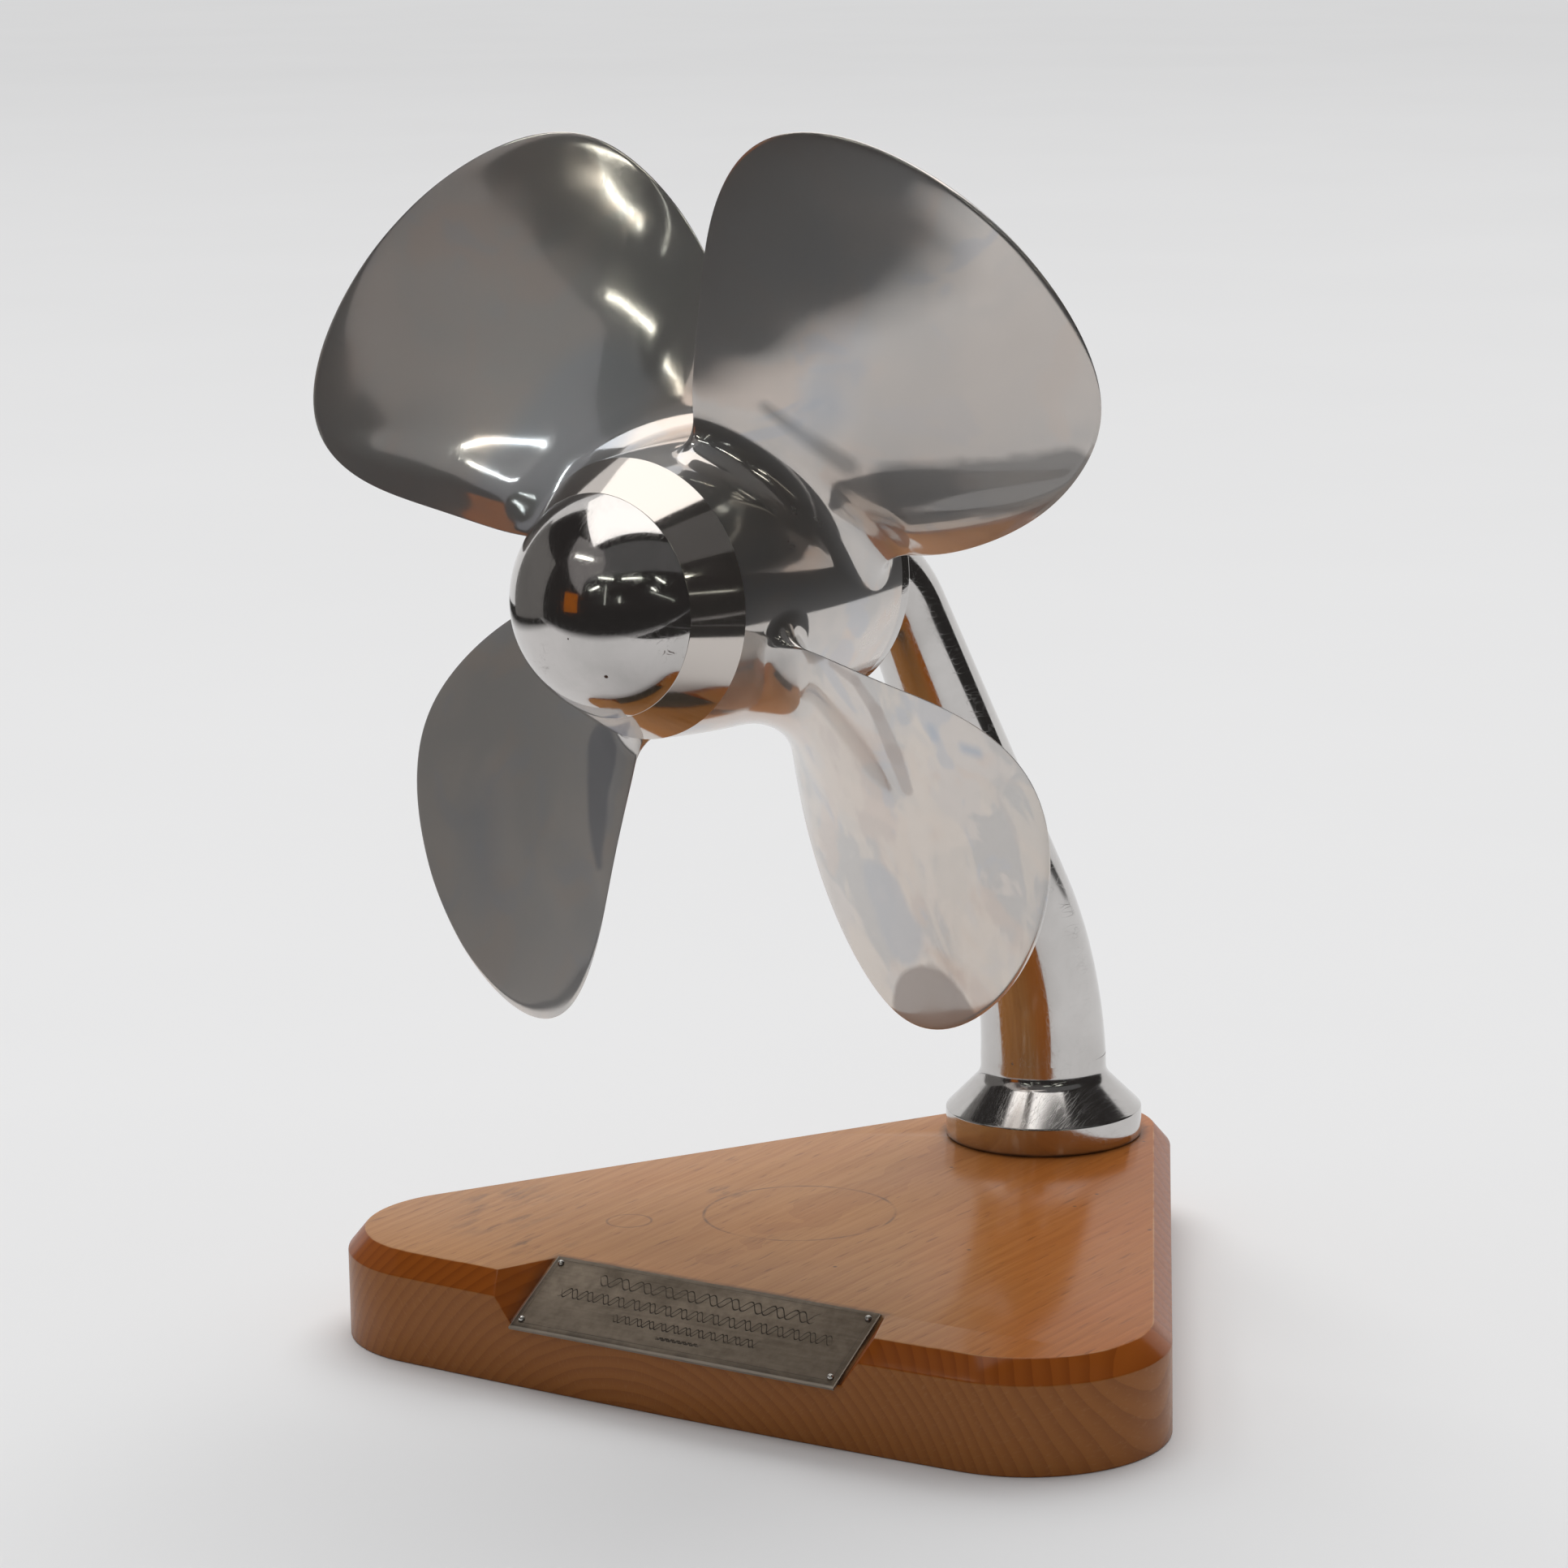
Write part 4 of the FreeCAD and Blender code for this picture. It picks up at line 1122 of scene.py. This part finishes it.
def beech():
    """Varnished beech: rings on the end grain, dark flecks on top, wear with a painted sheen, stains, and
    painted shade with grime round the foot and plaque.
    """
    p = Paint("varnished_beech")
    at = board_place(p)
    x, y, z = p.split(at)
    pith_x, pith_z = p.minus(x, PITH_X * MM), p.minus(z, PITH_Z * MM)
    radius = p.math("SQRT", p.plus(p.times(pith_x, pith_x), p.times(pith_z, pith_z)))
    radius = p.plus(radius, p.times(p.minus(p.noise(at, 18.0, 3.0), 0.5), 0.006))
    late = p.ramp(p.math("FRACT", p.times(radius, RINGS_PER_M)), 0.35, 1.0)
    fibre = p.noise(p.moved(scale=(900, 30, 900), of=at), 1.0, 3.0)
    flecks = p.noise(p.moved(scale=(700, 75, 700), shift=(5, 0, 2), of=at), 1.0, 2.0)
    flecks = p.ramp(flecks, 0.62, 0.72)
    angle = p.math("ARCTAN2", pith_x, pith_z)
    ray = p.noise(p.join(p.times(angle, 60.0), p.times(radius, 160.0), p.times(y, 160.0)), 3.0, 3.0)
    large = p.noise(p.moved(scale=(1, 0.5, 1), of=at), 16.0, 3.0)
    # paler, duller top except to the right of a line from the foot to the front right: partly wear, partly a
    # painted sheen of the varnish's reflection
    sheen_and_wear = p.ramp(p.plus(x, p.times(y, 0.55)), 0.0, -0.05)
    sheen_and_wear = p.math("ADD", sheen_and_wear, p.ramp(large, 0.3, 0.7, -0.25, 0.25), clamp=True)
    top_wood = p.layers((0.41, 0.130, 0.024),
                        (sheen_and_wear, (0.425, 0.198, 0.066)),
                        (p.times(late, 0.20), (0.22, 0.065, 0.016)),
                        (p.ramp(fibre, 0.35, 0.75, 0.0, 0.28), (0.20, 0.065, 0.018)),
                        (p.times(flecks, 0.45), (0.11, 0.036, 0.012)),
                        (old_marks(p, at), (0.075, 0.040, 0.026)))
    upright = p.split(p.node("TexCoord").outputs["Normal"])[2]
    chamfer_wood = p.mix(late, (0.29, 0.074, 0.009), (0.23, 0.056, 0.0065))
    end_wood = p.layers((0.315, 0.112, 0.024),
                        (p.times(late, 0.55), (0.20, 0.062, 0.013)),
                        (p.ramp(ray, 0.56, 0.72, 0.0, 0.45), (0.37, 0.155, 0.046)))
    arris = p.times(p.ramp(upright, 0.985, 0.95), p.ramp(upright, 0.70, 0.80))
    rubbed = p.times(arris, p.ramp(p.noise(at, 60.0, 4.0), 0.42, 0.60))
    # painted shade and dirt on upward faces: a dark ring round the foot and a painted shadow along the
    # plaque
    darkening = p.times(shade_and_grime(p, at), p.ramp(upright, 0.3, 0.5))
    wood = p.layers(top_wood, (p.ramp(upright, 0.9, 0.8), chamfer_wood),
                    (p.ramp(upright, 0.35, 0.2), end_wood),
                    (p.times(rubbed, 0.6), (0.50, 0.27, 0.13)), (darkening, (0.030, 0.018, 0.012)))
    dents = p.bump(p.noise(at, 55.0, 3.0), 0.12, 0.4)
    p.set(Base_Color=wood, Specular_IOR_Level=0.02,
          Roughness=p.plus(p.ramp(fibre, 0.3, 0.8, 0.36, 0.50), p.times(sheen_and_wear, 0.10)),
          Coat_Weight=0.43, Coat_Roughness=0.15,
          Normal=p.bump(fibre, 0.03, 0.4, p.bump(flecks, -0.03, 0.4, dents)))
    return p.material


def engraved_lines(p, across, up):
    """A border line and interlaced wave bands cut into the plaque: 1 in a cut, 0 between."""
    inset = 1.9
    side = p.minus(PLAQUE_W / 2 - inset, p.size(across))
    middle = -PLAQUE_GAP - PLAQUE_H / 2
    level = p.minus(PLAQUE_H / 2 - inset, p.size(p.minus(up, middle)))
    total = p.ramp(p.size(p.math("MINIMUM", side, level)), 0.16, 0.04, 0.0, 0.35)
    for centre, swing, period, half in WAVE_BANDS:
        inside_band = p.ramp(p.size(across), half + 1.0, half - 1.0)
        for phase in (0.0, math.pi * 0.62):
            turn = p.plus(p.times(across, 2 * math.pi / period), phase)
            off = p.size(p.minus(p.minus(up, centre), p.times(p.math("SINE", turn), swing)))
            total = p.most(total, p.times(p.ramp(off, 0.34, 0.10), inside_band))
    return total


def tarnished_silver():
    """The plaque: dark warm tarnish, rubbed highlights and generic engraved waves."""
    p = Paint("tarnished_plate")
    at = board_place(p)
    x, y, _ = p.split(at)
    across = p.times(p.minus(x, FACET_X * MM), 1 / MM)
    up = p.times(p.minus(y, FACET_TOP_Y * MM), 1 / MM / math.cos(FACET_TILT))
    cloud = p.noise(p.place, 60.0, 5.0, 0.65, 0.5)
    fine = p.noise(p.place, 380.0, 3.0)
    brushed = p.noise(p.moved(scale=(60, 900, 900), of=at), 1.0, 3.0)
    cuts = p.times(engraved_lines(p, across, up), p.ramp(cloud, 0.35, 0.6, 0.55, 1.0))
    end = p.minus(PLAQUE_W / 2, p.size(across))
    low = p.plus(up, PLAQUE_H + PLAQUE_GAP)
    rim = p.math("MINIMUM", end, p.math("MINIMUM", low, p.times(up, -1.0)))
    # darker towards the plate's lower edge, broken up by the cloud noise
    lower_darkening = p.times(p.ramp(low, 20.0, 6.0), p.ramp(cloud, 0.30, 0.62))
    darkening = p.times(p.ramp(rim, 3.0, 0.6), p.ramp(cloud, 0.40, 0.60))
    tone = p.layers((0.125, 0.098, 0.072),
                    (p.ramp(cloud, 0.35, 0.68), (0.225, 0.180, 0.135)),
                    (p.ramp(brushed, 0.4, 0.75, 0.0, 0.4), (0.26, 0.215, 0.165)),
                    (p.ramp(fine, 0.4, 0.8, 0.0, 0.5), (0.075, 0.058, 0.042)),
                    (p.times(lower_darkening, 0.45), (0.060, 0.046, 0.034)),
                    (p.times(darkening, 0.6), (0.035, 0.028, 0.022)),
                    (p.ramp(rim, 0.45, 0.15, 0.0, 0.6), (0.42, 0.37, 0.31)),
                    (p.times(cuts, 0.85), (0.022, 0.018, 0.014)))
    relief = p.bump(fine, 0.03, 0.5, p.bump(cloud, 0.1, 0.4))
    p.set(Base_Color=tone, Metallic=0.85,
          Roughness=p.plus(p.ramp(cloud, 0.3, 0.7, 0.50, 0.38), p.times(cuts, 0.2)),
          Normal=p.bump(cuts, -0.12, 0.9, relief))
    return p.material


def machined(name, base, dark, rough):
    """Turned metal of the inner parts: tool marks, oil and small stains."""
    p = Paint(name)
    lines = p.noise(p.moved(scale=(300, 2600, 300)), 1.0, 2.0)
    stain = p.noise(p.place, 90.0, 4.0, 0.6)
    p.set(Base_Color=p.mix(p.ramp(stain, 0.42, 0.68), base, dark), Metallic=1.0,
          Roughness=p.plus(p.ramp(stain, 0.3, 0.7, rough, rough + 0.12), p.ramp(lines, 0.3, 0.7, 0.0, 0.06)),
          Normal=p.bump(lines, 0.03, 0.5, p.bump(stain, 0.08, 0.3)))
    return p.material


def assign(obj, material):
    obj.data.materials.clear()
    obj.data.materials.append(material)


# ---- studio
# corners (x, y) of the ceiling's white panel round the nose, and (azimuth, elevation) of the light wall
CEILING = ((-0.36, -1.17), (0.79, 0.21), (0.60, 0.90), (0.45, 3.2), (-1.9, 3.2), (-2.6, 1.9), (-1.65, 0.95))
LIGHT_WALL = ((-10, 10), (-9, 20), (-5, 27), (8, 32), (9, 42), (0, 52), (-50, 52), (-38, 34), (-23, 20))


def stage_mesh(name, points, faces, material):
    obj = new_object(name, points, faces)
    assign(obj, material)
    return obj


def glow(name, tint, strength, shown=None):
    """A material that only gives light; shown may add nodes that say how much of it shows."""
    material = bpy.data.materials.new(name)
    material.use_nodes = True
    w = Wires(material.node_tree)
    w.tree.nodes.clear()
    light = w.out("Emission", {"Color": tint, "Strength": strength})
    if shown:
        light = w.out("MixShader", {0: shown(w), 1: w.out("BsdfTransparent"), 2: light})
    w.node("OutputMaterial", {"Surface": light})
    material.cycles.emission_sampling = "NONE"
    return material


def only_in_reflections(obj):
    obj.visible_camera = False
    obj.visible_diffuse = False
    obj.visible_transmission = False
    obj.visible_volume_scatter = False
    obj.visible_shadow = False


def panel(name, points, material):
    """One flat face of the room."""
    only_in_reflections(stage_mesh(name, points, [tuple(range(len(points)))], material))


def direction(azimuth, elevation):
    """Unit vector; azimuth 0 points to -Y and 90 to +X, in degrees."""
    a, e = math.radians(azimuth), math.radians(elevation)
    return Vector((math.cos(e) * math.sin(a), -math.cos(e) * math.cos(a), math.sin(e)))


def rolled(azimuth, elevation, roll):
    """Right, up and out for something at a direction that is rolled by an angle in radians."""
    out = direction(azimuth, elevation)
    right = direction(azimuth + 90, 0)
    up = out.cross(right)
    c, s = math.cos(roll), math.sin(roll)
    return right * c + up * s, up * c - right * s, out


def card(name, azimuth, elevation, wide, tall, tilt, distance, material):
    """A flat card seen from the nose at a direction, with its size in degrees."""
    right, up, out = rolled(azimuth, elevation, -math.radians(tilt))
    half_w = distance * math.tan(math.radians(wide / 2))
    half_t = distance * math.tan(math.radians(tall / 2))
    panel(name, [NOSE + out * distance + right * (sx * half_w) + up * (sy * half_t)
                 for sx, sy in ((-1, 1), (1, 1), (1, -1), (-1, -1))], material)


def dark_floor(name, azimuth, distance_mm, fade_mm):
    """The dark room's floor beyond one straight edge of the white table."""
    below = Vector((NOSE.x, NOSE.y, 0.0004))
    out = direction(azimuth, 0)
    side = Vector((-out.y, out.x, 0))
    near, far = distance_mm * MM, 40.0
    corners = [(near, -far), (near, far), (far, far), (far, -far)]
    start = below.dot(out) + near

    def past_edge(w):
        along = w.number("DOT_PRODUCT", w.node("TexCoord").outputs["Object"], out)
        return w.ramp(along, start, start + fade_mm * MM)

    panel(name, [below + out * d + side * s for d, s in corners],
          glow(name, (1.0, 0.95, 0.92), 0.03, past_edge))


def paper_floor():
    """Pale paper with painted light: brightest just behind the object and darker far away."""
    p = Paint("pale_floor")
    away = direction(CAMERA_AZIMUTH, 0) * -1
    depth = p.number("DOT_PRODUCT", p.place, away)
    # painted light: the tone rises a little towards just behind the object and falls off far away
    tone = p.minus(p.ramp(depth, -0.40, 0.25, 0.79, 0.825), p.ramp(depth, 0.6, 6.0, 0.0, 0.13))
    tone = p.plus(tone, p.ramp(p.noise(p.place, 3.0, 4.0), 0.3, 0.7, -0.006, 0.006))
    p.set(Base_Color=p.out("CombineColor", {0: tone, 1: tone, 2: tone}), Roughness=0.9,
          Specular_IOR_Level=0.0)
    return p.material


def surroundings():
    """A white floor and backdrop, and the dark room that only the reflections see."""
    size = 30.0
    stage_mesh("floor", [(-size, -size, 0), (size, -size, 0), (size, size, 0), (-size, size, 0)],
               [(0, 1, 2, 3)], paper_floor())
    panel("ceiling_panel", [NOSE + Vector((x, y, 1.6)) for x, y in CEILING],
          glow("white_panel", (1.0, 0.985, 0.965), 1.75))
    wall = []
    for azimuth in range(163, 268, 7):
        base = Vector((NOSE.x, NOSE.y, 0)) + direction(azimuth, 0) * 1.5
        wall += [base, base + Vector((0, 0, 2.4))]
    faces = [(2 * i, 2 * i + 2, 2 * i + 3, 2 * i + 1) for i in range(len(wall) // 2 - 1)]
    backdrop = glow("backdrop_glow", (1.0, 1.0, 1.0), 0.80)
    only_in_reflections(stage_mesh("backdrop_wall", wall, faces, backdrop))
    dark_floor("room_floor_front", 60, 425, 15)
    dark_floor("room_floor_right", 105, 640, 15)
    dark_floor("room_floor_nose", 12, 400, 130)
    dark_floor("room_floor_side", -70, 640, 200)
    tube = glow("lamp_tube", (0.96, 1.0, 0.9), 6.0)
    strong = glow("lamp_strong", (0.98, 1.0, 0.93), 14.0)
    faint = glow("lamp_faint", (0.96, 1.0, 0.9), 1.2)
    lamps = [(-20, 41.5, 17, 1.1, -8, strong), (13, 28, 14, 0.9, 0, tube), (40, 29, 18, 0.9, -1, tube),
             (3, 18, 9, 1.0, -30, tube), (69, 25, 10, 0.9, 40, tube), (61, 17.5, 5, 0.9, 40, tube),
             (69, 10.5, 24, 0.6, 25, faint), (14, 13, 0.8, 18, 0, faint), (28, 9, 2, 5, 0, faint)]
    for i, (azimuth, elevation, wide, tall, tilt, material) in enumerate(lamps):
        card("room_lamp_%d" % i, azimuth, elevation, wide, tall, tilt, 2.6, material)
    panel("room_wall_light", [NOSE + direction(*corner) * 3.0 for corner in LIGHT_WALL],
          glow("wall_grey", (1.0, 0.96, 0.95), 0.24))
    card("room_wall_left", -77, 8, 52, 44, 0, 1.0, glow("wall_left", (1.0, 0.97, 0.94), 0.17))
    card("room_door", -20, 3, 14, 16, 0, 2.8, glow("door_orange", (1.0, 0.30, 0.05), 0.34))
    card("room_ceiling", 50, 50, 100, 30, 0, 2.9, glow("ceiling_grey", (1.0, 1.0, 1.0), 0.11))


def daylight():
    """A wide soft sun, and a world with one tint each for the backdrop, the reflections and the fill."""
    world = bpy.data.worlds.new("studio")
    bpy.context.scene.world = world
    world.use_nodes = True
    w = Wires(world.node_tree)
    w.tree.nodes.clear()
    path = w.node("LightPath").outputs
    shades = [(0.66, 0.66, 0.66), (0.032, 0.030, 0.029), (0.30, 0.30, 0.305)]
    backdrop, room, fill = [w.out("Background", {"Color": shade}) for shade in shades]
    lit = w.out("MixShader", {0: path["Is Glossy Ray"], 1: fill, 2: room})
    w.node("OutputWorld", {0: w.out("MixShader", {0: path["Is Camera Ray"], 1: lit, 2: backdrop})})
    sun = bpy.data.lights.new("softbox", "SUN")
    sun.energy = 2.4
    sun.angle = math.radians(70)
    softbox = bpy.data.objects.new("softbox", sun)
    softbox.rotation_euler = direction(-142, 62).to_track_quat("Z", "Y").to_euler()
    softbox.visible_glossy = False
    bpy.context.scene.collection.objects.link(softbox)


def camera():
    data = bpy.data.cameras.new("camera")
    data.lens = CAMERA_LENS
    data.sensor_width = 36.0
    data.clip_start = 0.05
    data.clip_end = 60.0
    obj = bpy.data.objects.new("camera", data)
    columns = rolled(CAMERA_AZIMUTH, CAMERA_ELEVATION, CAMERA_ROLL)
    obj.matrix_world = Matrix.Translation(CAMERA_AT) @ Matrix(columns).transposed().to_4x4()
    bpy.context.scene.collection.objects.link(obj)
    bpy.context.scene.camera = obj


# ---- build
def build():
    camera()
    surroundings()
    daylight()
    bright = polished_metal("bright_polish", 0.06)
    assign(propeller(), cast_metal())
    assign(nose_dome(), mirror_metal())
    assign(closing_plate(), bright)
    assign(curved_arm(), bright)
    assign(turned_foot(), polished_metal("foot_polish", 0.09))
    assign(board(), beech())
    assign(plaque_plate(), tarnished_silver())
    bronze = machined("bearing_bronze", (0.62, 0.44, 0.22), (0.40, 0.25, 0.12), 0.24)
    steel = machined("oiled_steel", (0.52, 0.52, 0.53), (0.30, 0.29, 0.28), 0.26)
    pins = machined("pin_heads", (0.66, 0.65, 0.62), (0.40, 0.38, 0.35), 0.2)
    for name in ("bush_rear", "bush_front", "thrust_washer_rear", "thrust_washer_front"):
        assign(NODES[name], bronze)
    for name in ("shaft", "shaft_pin", "shaft_nut", "cotter_pin", "foot_dowels", "foot_stud",
                 "foot_nut", "foot_lock_washer", "foot_washer"):
        assign(NODES[name], steel)
    assign(NODES["plaque_pins"], pins)
    bpy.context.scene.view_settings.view_transform = "Standard"


build()
